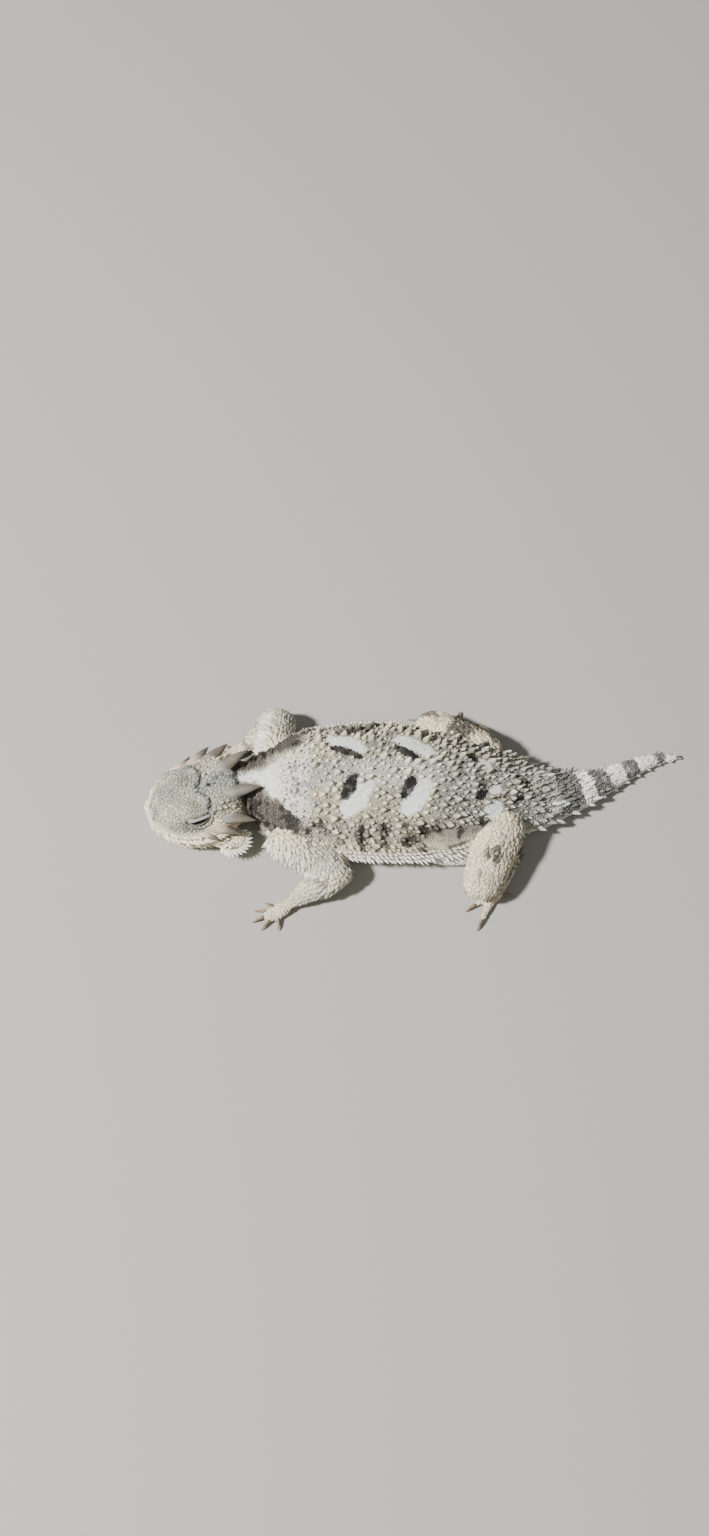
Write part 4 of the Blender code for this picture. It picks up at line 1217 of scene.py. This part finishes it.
def back_scales(skin, rng):
    """The large keeled scales of back and rump, with smaller ones between."""
    coat = Coat("scales_back", "torso")
    x, turn = trunk_places(skin.points)
    off = abs(turn)
    nape = on_nape(skin.points, x, turn) * step_up(x, -32, -28)
    clear = np.isin(skin.regions, ("torso", "tail")) & (off < 84) & (x < 29)
    clear &= (x + 1.6 * noise(skin.points, 1.8, 61) > -24.5) | (off > 62) | (nape > 0.5)
    clear &= on_patches(skin.points, x, turn, PALE_PATCHES + DARK_BLOTCHES) < 0.4
    clear &= (turn > -52) | (x < 2) | (x > 19)
    low = step_up(off, 48, 66) * (1 - step_up(x, 4, 12))
    spacing = 1.45 - 0.25 * low - 0.05 * step_up(x, -6, 10) - 0.42 * nape
    large, gaps = scatter(skin, np.where(clear & (off < 76) & (x > -31), spacing, 0), rng)
    add_keeled(coat, rng, large, 0.86, 0.76, 0.85, 1.0)
    small, gaps = scatter(skin, np.where(clear, 0.9, 0), rng)
    tree = tree_of(large[0])
    free = np.array([tree.find(point)[2] > 0.75 for point in small[0]])
    add_keeled(coat, rng, kept_seats(free, *small), 0.52, 0.47, 0.38, 0.78)
    return coat


def add_keeled(coat, rng, seats, length, width, height, shade):
    """Keeled scales that rise to a point at the back, with some much larger than the rest."""
    points, normals, regions = seats
    amount = len(points)
    x = points[:, 0]
    low = step_up(abs(trunk_places(points)[1]), 48, 66) * (1 - step_up(x, 4, 12))
    size = rng.uniform(0.58, 1.0, amount) + 0.42 * (rng.random(amount) > 0.66)
    size *= (0.88 - 0.03 * step_up(x, 5, 15)) * (1 - 0.3 * low)
    size *= 1 - 0.28 * on_nape(points, *trunk_places(points))
    lies = lies_of(points, normals, regions)
    lies = unit(lies + np.cross(normals, lies) * rng.uniform(-0.5, 0.5, (amount, 1)))
    outlines = drop_outlines(length * size, width * size, 12, 0.2)
    outlines *= rng.uniform(0.82, 1.12, (amount, 12, 1))
    # The smaller scales between the large ones take a shade below 1 and are darker all over: painted shade.
    # The base at half the colour is painted shade between the scales, and the lighter tip with its cream
    # gleam is a painted highlight.
    colours = markings(points, regions) * rng.uniform(0.78, 1.15, (amount, 1)) * shade
    gleam = 0.2 * shade**4 * rng.uniform(0.1, 1.0, (amount, 1)) * np.array(CREAM) / 0.6
    tips = colours * 1.12 + gleam
    heights = height * size * rng.uniform(0.7, 1.3, amount)
    coat.add(seats, lies, outlines, heights, KNOB_RINGS, (0.52, 1.08), colours * 0.5, tips, 0.35)


def fine_spacings(skin):
    """The spacing of the small scales over the trunk, the tail, the limbs and the head."""
    x, turn = trunk_places(skin.points)
    fine = np.maximum(on_patches(skin.points, x, turn, PALE_PATCHES), on_nape(skin.points, x, turn))
    fine = np.maximum(fine, (turn < -52) & (x > 1) & (turn > -92))
    trunk = np.where(abs(turn) > 98, 0.8, 0.55 - 0.15 * fine) * np.isin(skin.regions, ("torso", "neck"))
    tail = np.where(skin.regions == "tail", np.clip(0.6 - (x - 25) * 0.006, 0.4, 1), 0)
    limb = ~np.isin(skin.regions, ("torso", "neck", "tail", "head", "fold"))
    small = np.char.startswith(skin.regions, "hand") | np.char.startswith(skin.regions, "foot")
    limbs = np.where(small, 0.5, 0.8) * limb
    head = np.where(np.isin(skin.regions, ("head", "fold")), 0.62, 0)
    for side in SIDES:
        away = away_from(skin.points, slit_frame(side)[0])
        head = np.where((head > 0) & (away < 3.4), np.clip(0.26 + 0.1 * away, 0.34, 0.62), head)
    return trunk * (x < FRONT_END), trunk * (x >= FRONT_END), tail, limbs, head


def fine_scales(skin, rng):
    """The small scales that cover all of the skin, in joined meshes by region."""
    coats = []
    rows = (  # height, share of the cell filled, and sides of each scale
        ("scales_front", "torso", 0.1, 0.9, 8),
        ("scales_rear", "torso", 0.1, 0.9, 8),
        ("scales_tail", "tail_base", 0.14, 0.9, 8),
        ("scales_limbs", "upper_arm_left", 0.16, 0.92, 8),
        ("scales_head", "head", 0.11, 0.97, 12),
    )
    for (name, slot, height, fill, sides), spacing in zip(rows, fine_spacings(skin)):
        (points, normals, regions), gaps = scatter(skin, spacing, rng)
        lies = lies_of(points, normals, regions)
        outlines = cell_outlines((points, normals, regions), lies, gaps, sides, fill)
        normals = unit(normals + rng.normal(0, 0.09, normals.shape))
        colours = markings(points, regions) * rng.uniform(0.8, 1.14, (len(points), 1))
        x, turn = trunk_places(points)
        trunk = np.isin(regions, ("torso", "neck"))
        # The small scales of the back between the large ones are darker: partly their own duller colour,
        # partly painted shade between the large scales.
        shaded_ground = trunk * step_up(x, -25, -22) * (1 - step_up(abs(turn), 60, 70))
        shaded_ground *= 1 - on_patches(points, x, turn, PALE_PATCHES)
        colours *= (1 - 0.42 * shaded_ground)[:, None]
        flat = trunk * (colours.mean(axis=1) > 0.5)
        heights = height * (gaps / 0.7) * rng.uniform(0.7, 1.4, len(points)) * (1 - 0.4 * flat)
        keep = np.ones(len(points), dtype=bool)
        if name == "scales_head":
            places = [slit_places(points, side) for side in SIDES]
            close = np.min([np.hypot(oval(u, v, LIDS), w / EYE_DEPTH) for u, v, w in places], axis=0)
            hole = np.min([away_from(points, on_head(NOSTRIL, side)) for side in SIDES], axis=0)
            keep = (close > 1.12) & (hole > NOSTRIL_RADIUS * 1.35) & ~within_horns(points, -0.45)
            heights *= step_up(close, 1.0, 1.8) * 0.7 + 0.3
        seats = kept_seats(keep, points, normals, regions)
        lies, outlines, heights, colours = kept_seats(keep, lies, outlines, heights, colours)
        coat = Coat(name, slot)
        # The base takes the groove colour, painted shade between the scales, and rises to the scale's own
        # colour.
        coat.add(seats, lies, outlines, heights, PLATE_RINGS, (0.15, 1.1), groove_shade(colours), colours, 0.1)
        coats.append(coat)
    return coats


def fringe(skin, rng):
    """The row of flat pointed scales along each flank, with two shorter rows above it."""
    coat = Coat("fringe", "torso")
    # Height over the rim, spacing, length at the ends, more length amid, and how far the tips rise.
    rows = ((0, 0.95, 1.35, 0.8, 0.2), (0.85, 1.0, 1.0, 0.5, 0.35), (1.75, 1.1, 0.75, 0.25, 0.4))
    for side, (lift, gap, length, more, rise) in itertools.product(SIDES, rows):
        lines = []
        for x in steps(FRINGE_SPAN[0] + lift, FRINGE_SPAN[1] - lift, gap):
            y, width, back, rim, belly, floor = sample(TRUNK, x)
            origin = Vector((x + rng.uniform(-0.15, 0.15), y, rim + lift + rng.uniform(-0.15, 0.15)))
            lines.append((origin, across_spine(spine_heading(x)) * side))
        seats = row_seats(skin, lines, "torso")
        bare = abs(trunk_places(seats[0])[1]) < 120
        bare &= np.array([skin.regions[skin.kd.find(spot)[1]] in ("torso", "tail") for spot in seats[0]])
        points, normals, regions = kept_seats(bare, *seats)
        seats = points, lean(normals, (0.25, 0, rise)), regions
        ends = np.sin(np.pi * (np.arange(len(points)) + 3) / (len(points) + 5))
        pale = np.array(FRINGE_WHITE) * (1 - 0.12 * lift)
        spikes(coat, rng, seats, length + more * ends, 0.62, 0.42, 0.8, pale, 1.1, 0.15)
    return coat


def tail_spines(skin, rng):
    """Rings of keeled spines round the tail, longest along its edges."""
    coat = Coat("spines_tail", "tail_base")
    found = []
    x, shifted = TAIL_SPINES[0], 0
    while x < TAIL_SPINES[1]:
        y, width, back, rim, belly, floor = sample(TRUNK, x)
        across = across_spine(spine_heading(x))
        size = 0.35 + 0.65 * min(1, width / 6.5)
        count = max(2, int(width * 0.6) + 1)
        for k in range(-count, count + 1):
            turn = 92 * (k + 0.5 * shifted * (1 if k < 0 else -1) * (k != 0)) / count
            angle = math.radians(turn + rng.uniform(-4, 4))
            out = across * math.sin(angle) + UP * math.cos(angle)
            spot, normal = skin.seat(Vector((x + rng.uniform(-0.2, 0.2), y, rim)), out)
            if spot is not None:
                edge = abs(turn) > 75
                found.append((spot, normal, edge, size * (1.55 if edge else 1.1) * rng.uniform(0.75, 1.2)))
        x += 0.85 + 0.95 * size
        shifted = 1 - shifted
    points, normals, edges, sizes = (np.array(column) for column in zip(*found))
    edges = edges[:, None]
    regions = np.array(["tail"] * len(points))
    lies = lies_of(points, normals, regions)
    directions = lean(normals, lies, np.where(edges, 0.4, 0.7))
    lies = flattened(lies, directions)
    colours = markings(points, regions) * rng.uniform(0.85, 1.1, (len(points), 1))
    outlines = drop_outlines(0.62 * sizes, 0.52 * sizes, 8, 0.15)
    seats = points - directions * 0.15, directions, regions
    # Darker bases, and lighter tips except on the edge spines: painted shade between the spines and painted
    # light on their tops.
    tips = np.where(edges, colours * 0.8, colours * 1.15 + 0.05)
    coat.add(seats, lies, outlines, 1.3 * sizes, SPINE_RINGS, (0.7, 1.0), colours * 0.8, tips, 0.1)
    return coat


def limb_scales(skin, rng):
    """The pointed, overlapping scales of arms and legs, long on the front of the upper arm."""
    coat = Coat("spines_limbs", "upper_arm_left")
    rows = (  # spacing, length and height
        ("upper_arm", 0.9, 0.7, 0.32),
        ("forearm", 0.88, 0.62, 0.38),
        ("thigh", 0.92, 0.6, 0.26),
        ("shin", 1.1, 0.75, 0.6),
    )
    for side, (name, gap, length, height) in itertools.product(SIDES, rows):
        share = limb_places(skin.points, name, side)[0]
        finer = gap * (1 - 0.3 * step_up(share, 0.45, 0.8))
        seats, gaps = scatter(skin, np.where(skin.regions == f"{name}_{SIDES[side]}", finer, 0), rng)
        points, normals, regions = kept_seats(seats[0][:, 2] > 1.0, *seats)
        share, front, outside, top = limb_places(points, name, side)
        lies = lies_of(points, normals, regions)
        size = rng.uniform(0.8, 1.2, len(points)) * (1 - 0.28 * step_up(share, 0.45, 0.8))
        ahead = np.zeros(len(points))
        if name == "upper_arm":
            ahead = step_up(front, -0.1, 0.5) * (1 - step_up(share, 0.85, 1.0))
            forward = np.array(ARM_FRONT[side]) - normals * (normals @ np.array(ARM_FRONT[side]))[:, None]
            lies = unit(lies + forward * (2.2 * ahead)[:, None] - np.array([0, 0, 0.6]) * ahead[:, None])
            lies = flattened(lies, normals)
        size *= 1 + 0.5 * ahead
        heights = height * (1 + 0.4 * ahead) * size
        outlines = drop_outlines(length * size, 0.5 * size * (1 - 0.3 * ahead), 10, 0.55)
        colours = markings(points, regions) * rng.uniform(0.86, 1.12, (len(points), 1))
        seats = points, normals, regions
        # Darker base and lighter tip: painted shade between the scales and painted light on their tops.
        coat.add(seats, lies, outlines, heights, LEAF_RINGS, LEAF_TIP, colours * 0.72, colours * 1.08, 0.3)
    return coat


def lip_scales(coat, skin, rng, side):
    """Rows of white leaf-shaped scales above and below the mouth, which point down and back."""
    # Height over the mouth, where the row starts, size, and how far the scales point down.
    for lift, first, size, down in ((1.9, 2.6, 0.5, 0.5), (0.95, 0.6, 0.62, 0.75), (-0.75, 0.8, 0.6, 0.35)):
        lines = []
        for a in steps(first, LIP_END, 0.86 * size / 0.55):
            lip_z = sample(SKULL, a)[6] + lift
            out = (HEAD_RIGHT * side + HEAD_BACK * (min(0, a - 2.2) * 0.55)).normalized()
            lines.append((head_point(max(a, 2.2) + rng.uniform(-0.08, 0.08), 0, lip_z), out))
        seats = row_seats(skin, lines, "head")
        amount = len(seats[0])
        lies = flattened(np.tile(np.array(HEAD_BACK) - np.array(UP) * down, (amount, 1)), seats[1])
        sizes = size * rng.uniform(0.85, 1.15, amount)
        outlines = drop_outlines(sizes * 1.15, sizes * 0.85, 10, 0.5)
        colours = np.tile(JAW_WHITE, (amount, 1)) * rng.uniform(0.86, 1.08, (amount, 1))
        # Darker base and lighter tip: painted shade between the scales and painted light on their tops.
        coat.add(
            seats, lies, outlines, 0.75 * sizes, LEAF_RINGS, LEAF_TIP, colours * 0.78, colours * 1.08, 0.3
        )


def cheek_knobs(coat, skin, rng):
    """The swollen pale scales between the eye and the horns of the temple, and on the crown's edge."""
    a, b, z = head_places(skin.points)
    b = abs(b)
    cheek = (a > 8.5) & (a < 16.5) & (b > 5.0) & (z > 5.8) & (z < 11.5)
    crown = (a > 12.8) & (a < 18.5) & (b > 2.4) & (z > 10.5)
    clear = np.min([np.hypot(*slit_places(skin.points, side)[:2]) for side in SIDES], axis=0) > 3.3
    clear &= ~within_horns(skin.points, 0.3) & (skin.regions == "head")
    (points, normals, regions), gaps = scatter(skin, np.where((cheek | crown) & clear, 1.2, 0), rng)
    lies = lies_of(points, normals, regions)
    size = rng.uniform(0.75, 1.15, len(points))
    outlines = drop_outlines(0.62 * size, 0.55 * size, 10, 0.15)
    outlines *= rng.uniform(0.88, 1.1, (len(points), 10, 1))
    colours = markings(points, regions) * rng.uniform(0.95, 1.15, (len(points), 1))
    seats = points, normals, regions
    # Darker base and lighter tip: painted shade between the knobs and painted light on their tops.
    coat.add(
        seats, lies, outlines, 0.5 * size, KNOB_RINGS, (0.45, 1.05), colours * 0.7, colours * 1.12, 0.25
    )


def jaw_spines(coat, skin, rng, side):
    """The row of spines along the jaw, longer toward the back."""
    lines, lengths = [], []
    for a in steps(1.2, JAW_END, 0.95):
        lip_z = sample(SKULL, a)[6]
        lines.append((head_point(a + rng.uniform(-0.1, 0.1), 0, lip_z - 1.15), HEAD_RIGHT * side))
        lengths.append(0.75 + 1.05 * step_up(np.array(a), 2, 13))
    points, normals, regions = row_seats(skin, lines, "head")
    seats = points, lean(normals, HEAD_BACK * 0.35 + UP * 0.3), regions
    lengths = np.array(lengths[: len(points)])
    spikes(coat, rng, seats, lengths, 0.55, 0.36, 0.8, JAW_WHITE, 1.1, 0.12)


def fold_spines(coat, skin, rng, side):
    """The long spines round the fold behind the corner of the mouth."""
    found = []
    for turn in range(-60, 110, 13):
        angle = math.radians(turn)
        out = HEAD_RIGHT * (side * math.cos(angle)) + HEAD_BACK * math.sin(angle)
        spot, normal = skin.seat(on_head(FOLD[side], side), out)
        if spot is not None:
            toward = np.array(out) + np.array(HEAD_BACK) * 0.35 - np.array([0, 0, 0.1])
            length = THROAT_LENGTH * (0.65 + 0.35 * math.cos(angle - 0.3))
            found.append((spot, unit(np.array(normal) * 0.4 + toward), length))
    points, directions, lengths = (np.array(column) for column in zip(*found))
    seats = points, directions, np.array(["fold"] * len(points))
    lengths = lengths * (1 if side == LEFT else 0.8)
    spikes(coat, rng, seats, lengths, 0.62, 0.4, 0.6, FRINGE_WHITE, 1.1, 0.1)


def head_spines(skin, rng):
    """The rows of pointed scales along lips, jaw, throat, brow and cheek."""
    coat = Coat("spines_head", "jaw")
    cheek_knobs(coat, skin, rng)
    rows = (  # a, b and z of the start of each line, its direction outward and upward, and the size
        ([(a, 4.0, 9.6, 1, 0.75) for a in steps(4.0, 8.2, 1.0)], 0.55),
        ([(a, 0, 7.2, 1, 0.0) for a in (4.6, 6.0, 7.4)], 0.5),
        ([(a, 0, 8.2, 1, 0.15) for a in (11.6, 14.2, 16.8)], 0.7),
        ([(18.8, b, 9.0, b * 0.2, 1.0) for b in (0.7, 5.6)], 0.6),
    )
    for side in SIDES:
        lip_scales(coat, skin, rng, side)
        jaw_spines(coat, skin, rng, side)
        fold_spines(coat, skin, rng, side)
        for places, size in rows:
            lines = [
                (head_point(a, side * b, z), HEAD_RIGHT * (side * out) + UP * up)
                for a, b, z, out, up in places
            ]
            points, normals, regions = row_seats(skin, lines, "head")
            seats = points, lean(normals, HEAD_BACK, 0.5), regions
            spikes(coat, rng, seats, size * np.ones(len(points)), 0.55, 0.45, 0.6, None, 1.15, 0.15)
    return coat


# Horns, eyes and claws


def round_mesh(name, rings):
    """A closed round form over rings of points."""
    points, faces, regions = join_rings([(name, rings)])
    return mesh_of(name, points, faces)


def make_horns(material):
    """Each horn as a round cone with fine growth rings and a blunt ridge above."""
    for (side, word), name in itertools.product(SIDES.items(), HORNS):
        root, tip, wide, thick = HORNS[name]
        start, end = horn_ends(side, root, tip)
        along = (end - start).normalized()
        across = along.cross(UP).normalized()
        up = across.cross(along)
        peachy = name in ("horn_temporal_2", "horn_temporal_3")
        rings, colours = [], []
        for share in steps(-0.33, 1.0, HORN_STEP):
            size = sample(HORN_PROFILE, max(share, 0))[0] * (1 - 0.02 * (math.sin(share * 95) + 1))
            size *= 1 + 0.9 * min(share, 0)
            centre = start.lerp(end, share) + up * (HORN_ARCH * math.sin(math.pi * max(share, 0)))
            ring = []
            for turn in turns_of(HORN_SIDES):
                flute = 1 + 0.015 * math.sin(turn * 7)
                ridge = 1 + 0.07 * max(0, math.sin(turn)) ** 4
                sideways = across * (wide * size * flute * math.cos(turn))
                ring.append(centre + sideways + up * (thick * size * ridge * flute * math.sin(turn)))
            rings.append(ring)
            bare = step_up(share, 0.1, 0.6 if peachy else 0.35)
            shade = 1 - 0.25 * step_up(share, 0.6, 1.0)
            root_colour = np.array(PEACH if peachy else CREST) * 0.85
            colours += [(root_colour * (1 - bare) + np.array(HORN) * bare) * shade] * HORN_SIDES
        mesh = round_mesh(f"{name}_{word}_shaped", rings)
        colour_mesh(mesh, np.array([*colours, colours[0], colours[-1]]))
        add_piece(mesh, material, [f"{name}_{word}"])


def make_eyes(material):
    for side, word in SIDES.items():
        centre, out = on_head(EYE_SEAT, side), gaze(side)
        rings = ball_rings(centre, [EYE_RADIUS] * 3, (out, HEAD_BACK, out.cross(HEAD_BACK)), 32, 24)
        add_piece(round_mesh(f"eye_{word}_ball", rings), material, [f"eye_{word}"])


def make_claws(material):
    """Curved claws at the ends of the toes, one mesh to a foot."""
    shares = steps(-0.45, 1.0, 0.15)
    for side, word in SIDES.items():
        for name, toes in toe_lines(side).items():
            points, faces = [], []
            for start, toe_end, claw_tip in toes:
                first = len(points)
                along = (claw_tip - toe_end).normalized()
                across = along.cross(UP).normalized()
                up = across.cross(along)
                for share in shares:
                    arch = CLAW_ARCH * math.sin(math.pi * max(0, share))
                    centre = toe_end.lerp(claw_tip, share) + up * arch
                    radius = CLAW_RADIUS * (1 - max(0, share)) ** 0.8 + 0.03
                    points += oval_ring(centre, across, up, radius * 0.8, radius, turns_of(CLAW_SIDES))
                faces += ring_faces(len(shares), CLAW_SIDES, first)
                faces.append(tuple(range(first, first + CLAW_SIDES))[::-1])
                faces.append(tuple(range(len(points) - CLAW_SIDES, len(points))))
            for point in points:
                point.z = max(point.z, 0.01)
            add_piece(mesh_of(f"claws_{name}_{word}", points, faces), material)


# Materials


def link(tree, source, output, target, into):
    tree.links.new(source.outputs[output], target.inputs[into])


def add_node(tree, kind, **values):
    """A node with these inputs or settings."""
    node = tree.nodes.new(kind)
    for name, value in values.items():
        if name in node.inputs:
            node.inputs[name].default_value = value
        else:
            setattr(node, name, value)
    return node


def new_material(name):
    material = bpy.data.materials.new(name)
    material.use_nodes = True
    tree = material.node_tree
    return material, tree, tree.nodes["Principled BSDF"]


def grain_node(tree, scale, detail, roughness, stretch=(1, 1, 1)):
    """Noise over the object's own place, in lumps to the metre, drawn out by the stretch."""
    place = add_node(tree, "ShaderNodeTexCoord")
    mapping = add_node(tree, "ShaderNodeMapping", Scale=stretch)
    link(tree, place, "Object", mapping, "Vector")
    grain = add_node(tree, "ShaderNodeTexNoise", Scale=scale, Detail=detail, Roughness=roughness)
    link(tree, mapping, "Vector", grain, "Vector")
    return grain


def ramp_node(tree, grain, *stops):
    """A colour for each value of a noise, between two stops that are a position and a colour."""
    ramp = add_node(tree, "ShaderNodeValToRGB")
    for element, (position, colour) in zip(ramp.color_ramp.elements, stops):
        element.position = position
        element.color = (*colour, 1)
    link(tree, grain, "Fac", ramp, "Fac")
    return ramp


def product_node(tree, first, second):
    """The product of two outputs, each given as a node and its output, as output 2 of a new node."""
    product = add_node(tree, "ShaderNodeMix", data_type="RGBA", blend_type="MULTIPLY")
    product.inputs[0].default_value = 1.0
    link(tree, *first, product, 6)
    link(tree, *second, product, 7)
    return product


def textured(tree, shader, colour, scale, contrast, rough, bump):
    """Varies a colour, given as a node and its output, roughness and height by a fine grain."""
    grain = grain_node(tree, scale, 6.0, 0.65)
    limits = {"From Min": 0.3, "From Max": 0.7, "To Min": 1 - contrast, "To Max": 1 + contrast}
    spread = add_node(tree, "ShaderNodeMapRange", **limits)
    link(tree, grain, "Fac", spread, "Value")
    link(tree, product_node(tree, colour, (spread, "Result")), 2, shader, "Base Color")
    roughness = add_node(tree, "ShaderNodeMapRange", **{"To Min": rough[0], "To Max": rough[1]})
    link(tree, grain, "Fac", roughness, "Value")
    link(tree, roughness, "Result", shader, "Roughness")
    relief = add_node(tree, "ShaderNodeBump", Strength=bump[0], Distance=bump[1])
    link(tree, grain, "Fac", relief, "Height")
    link(tree, relief, "Normal", shader, "Normal")


def scale_material(name, scale, contrast, rough):
    """Scales or skin in the body's markings."""
    material, tree, shader = new_material(name)
    marking = add_node(tree, "ShaderNodeVertexColor", layer_name="marking")
    textured(tree, shader, (marking, "Color"), scale, contrast, rough, (0.6, 0.00015))
    shader.inputs["Specular IOR Level"].default_value = 0.3
    return material


def horn_material():
    """Dull brown-grey horn, streaked along its length."""
    material, tree, shader = new_material("horn")
    streaks = grain_node(tree, 900.0, 5.0, 0.6, (0.25, 1.0, 1.0))
    ramp = ramp_node(tree, streaks, (0.3, (0.6, 0.6, 0.6)), (0.7, (1.3, 1.3, 1.3)))
    marking = add_node(tree, "ShaderNodeVertexColor", layer_name="marking")
    tint = product_node(tree, (marking, "Color"), (ramp, "Color"))
    textured(tree, shader, (tint, 2), 2600.0, 0.15, (0.45, 0.7), (0.35, 0.00012))
    shader.inputs["Specular IOR Level"].default_value = 0.4
    return material


def claw_material():
    material, tree, shader = new_material("claw")
    grain = add_node(tree, "ShaderNodeTexNoise", Scale=700.0, Detail=3.0)
    ramp = ramp_node(tree, grain, (0.0, (0.09, 0.06, 0.04)), (1.0, (0.32, 0.23, 0.15)))
    textured(tree, shader, (ramp, "Color"), 3000.0, 0.15, (0.3, 0.5), (0.2, 0.0001))
    return material


def eye_material():
    """A dark wet eye with a fine brown fleck."""
    material, tree, shader = new_material("eye")
    flecks = add_node(tree, "ShaderNodeTexNoise", Scale=2500.0, Detail=4.0)
    ramp = ramp_node(tree, flecks, (0.45, (0.006, 0.005, 0.004)), (0.75, (0.07, 0.04, 0.02)))
    textured(tree, shader, (ramp, "Color"), 4000.0, 0.1, (0.06, 0.14), (0.02, 0.00002))
    shader.inputs["Coat Weight"].default_value = 0.6
    shader.inputs["Coat Roughness"].default_value = 0.04
    return material


# Stage


def make_stage():
    """A plain pale floor, a key light from the head's end, and a wide soft fill."""
    scene = bpy.context.scene
    floor = bpy.data.meshes.new("floor")
    corners = [(x * FLOOR_REACH, y * FLOOR_REACH, 0) for x, y in ((-1, -1), (1, -1), (1, 1), (-1, 1))]
    floor.from_pydata(corners, [], [(0, 1, 2, 3)])
    material, tree, shader = new_material("floor")
    shader.inputs["Base Color"].default_value = FLOOR_COLOUR
    shader.inputs["Roughness"].default_value = 0.9
    shader.inputs["Specular IOR Level"].default_value = 0.1
    floor.materials.append(material)
    obj = bpy.data.objects.new("floor", floor)
    scene.collection.objects.link(obj)
    for name, place, size, energy in LIGHTS:
        light = bpy.data.lights.new(name, "AREA")
        light.shape = "DISK"
        light.size = size
        light.energy = energy
        place_toward(light, Vector(place), -Vector(place))
    world = bpy.data.worlds.new("soft")
    world.use_nodes = True
    sky = world.node_tree.nodes["Background"]
    sky.inputs["Color"].default_value = (0.96, 0.97, 0.95, 1)
    sky.inputs["Strength"].default_value = WORLD_STRENGTH
    scene.world = world


def place_toward(data, place, toward):
    """Puts a light or a camera at a place, facing this direction."""
    obj = bpy.data.objects.new(data.name, data)
    bpy.context.scene.collection.objects.link(obj)
    obj.location = place
    obj.rotation_mode = "QUATERNION"
    obj.rotation_quaternion = toward.to_track_quat("-Z", "Y")
    return obj


def make_camera():
    """The photograph's view: from the animal's left and well above."""
    data = bpy.data.cameras.new("camera")
    rise = math.radians(CAMERA_RISE)
    back = Vector((0, -math.cos(rise), math.sin(rise)))
    camera = place_toward(data, Vector(CAMERA_LOOK) * MM + back * CAMERA_DISTANCE, -back)
    data.sensor_width = 36
    data.lens = 36 * CAMERA_DISTANCE / (FRAME_HEIGHT * MM)
    data.clip_start = 0.01
    bpy.context.scene.camera = camera


def make_skin(skin, material):
    """The skin as a piece, in place of every node but the horns and eyes."""
    # The skin shows only between the scales, so its colours carry painted shade: the groove colour,
    # darkened a little more.
    colours = groove_shade(markings(skin.points, skin.regions)) * 0.92
    colour_mesh(skin.mesh, lid_colours(skin.points, colours))
    write_points(skin.mesh, skin.points * MM)
    skin.mesh.name = "skin"
    for face in skin.mesh.polygons:
        face.use_smooth = True
    flesh = [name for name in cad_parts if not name.startswith(("horn_", "eye_"))]
    add_piece(skin.mesh, material, flesh)


def main():
    rng = np.random.default_rng(SEED)
    make_camera()
    make_stage()
    skin = Skin()
    coats = [back_scales(skin, rng), *fine_scales(skin, rng), fringe(skin, rng)]
    coats += [tail_spines(skin, rng), limb_scales(skin, rng), head_spines(skin, rng)]
    scaly = scale_material("scales", 2600.0, 0.3, (0.62, 0.9))
    for coat in coats:
        coat.finish(scaly)
    make_skin(skin, scale_material("hide", 1500.0, 0.25, (0.7, 0.95)))
    make_horns(horn_material())
    make_eyes(eye_material())
    make_claws(claw_material())


main()
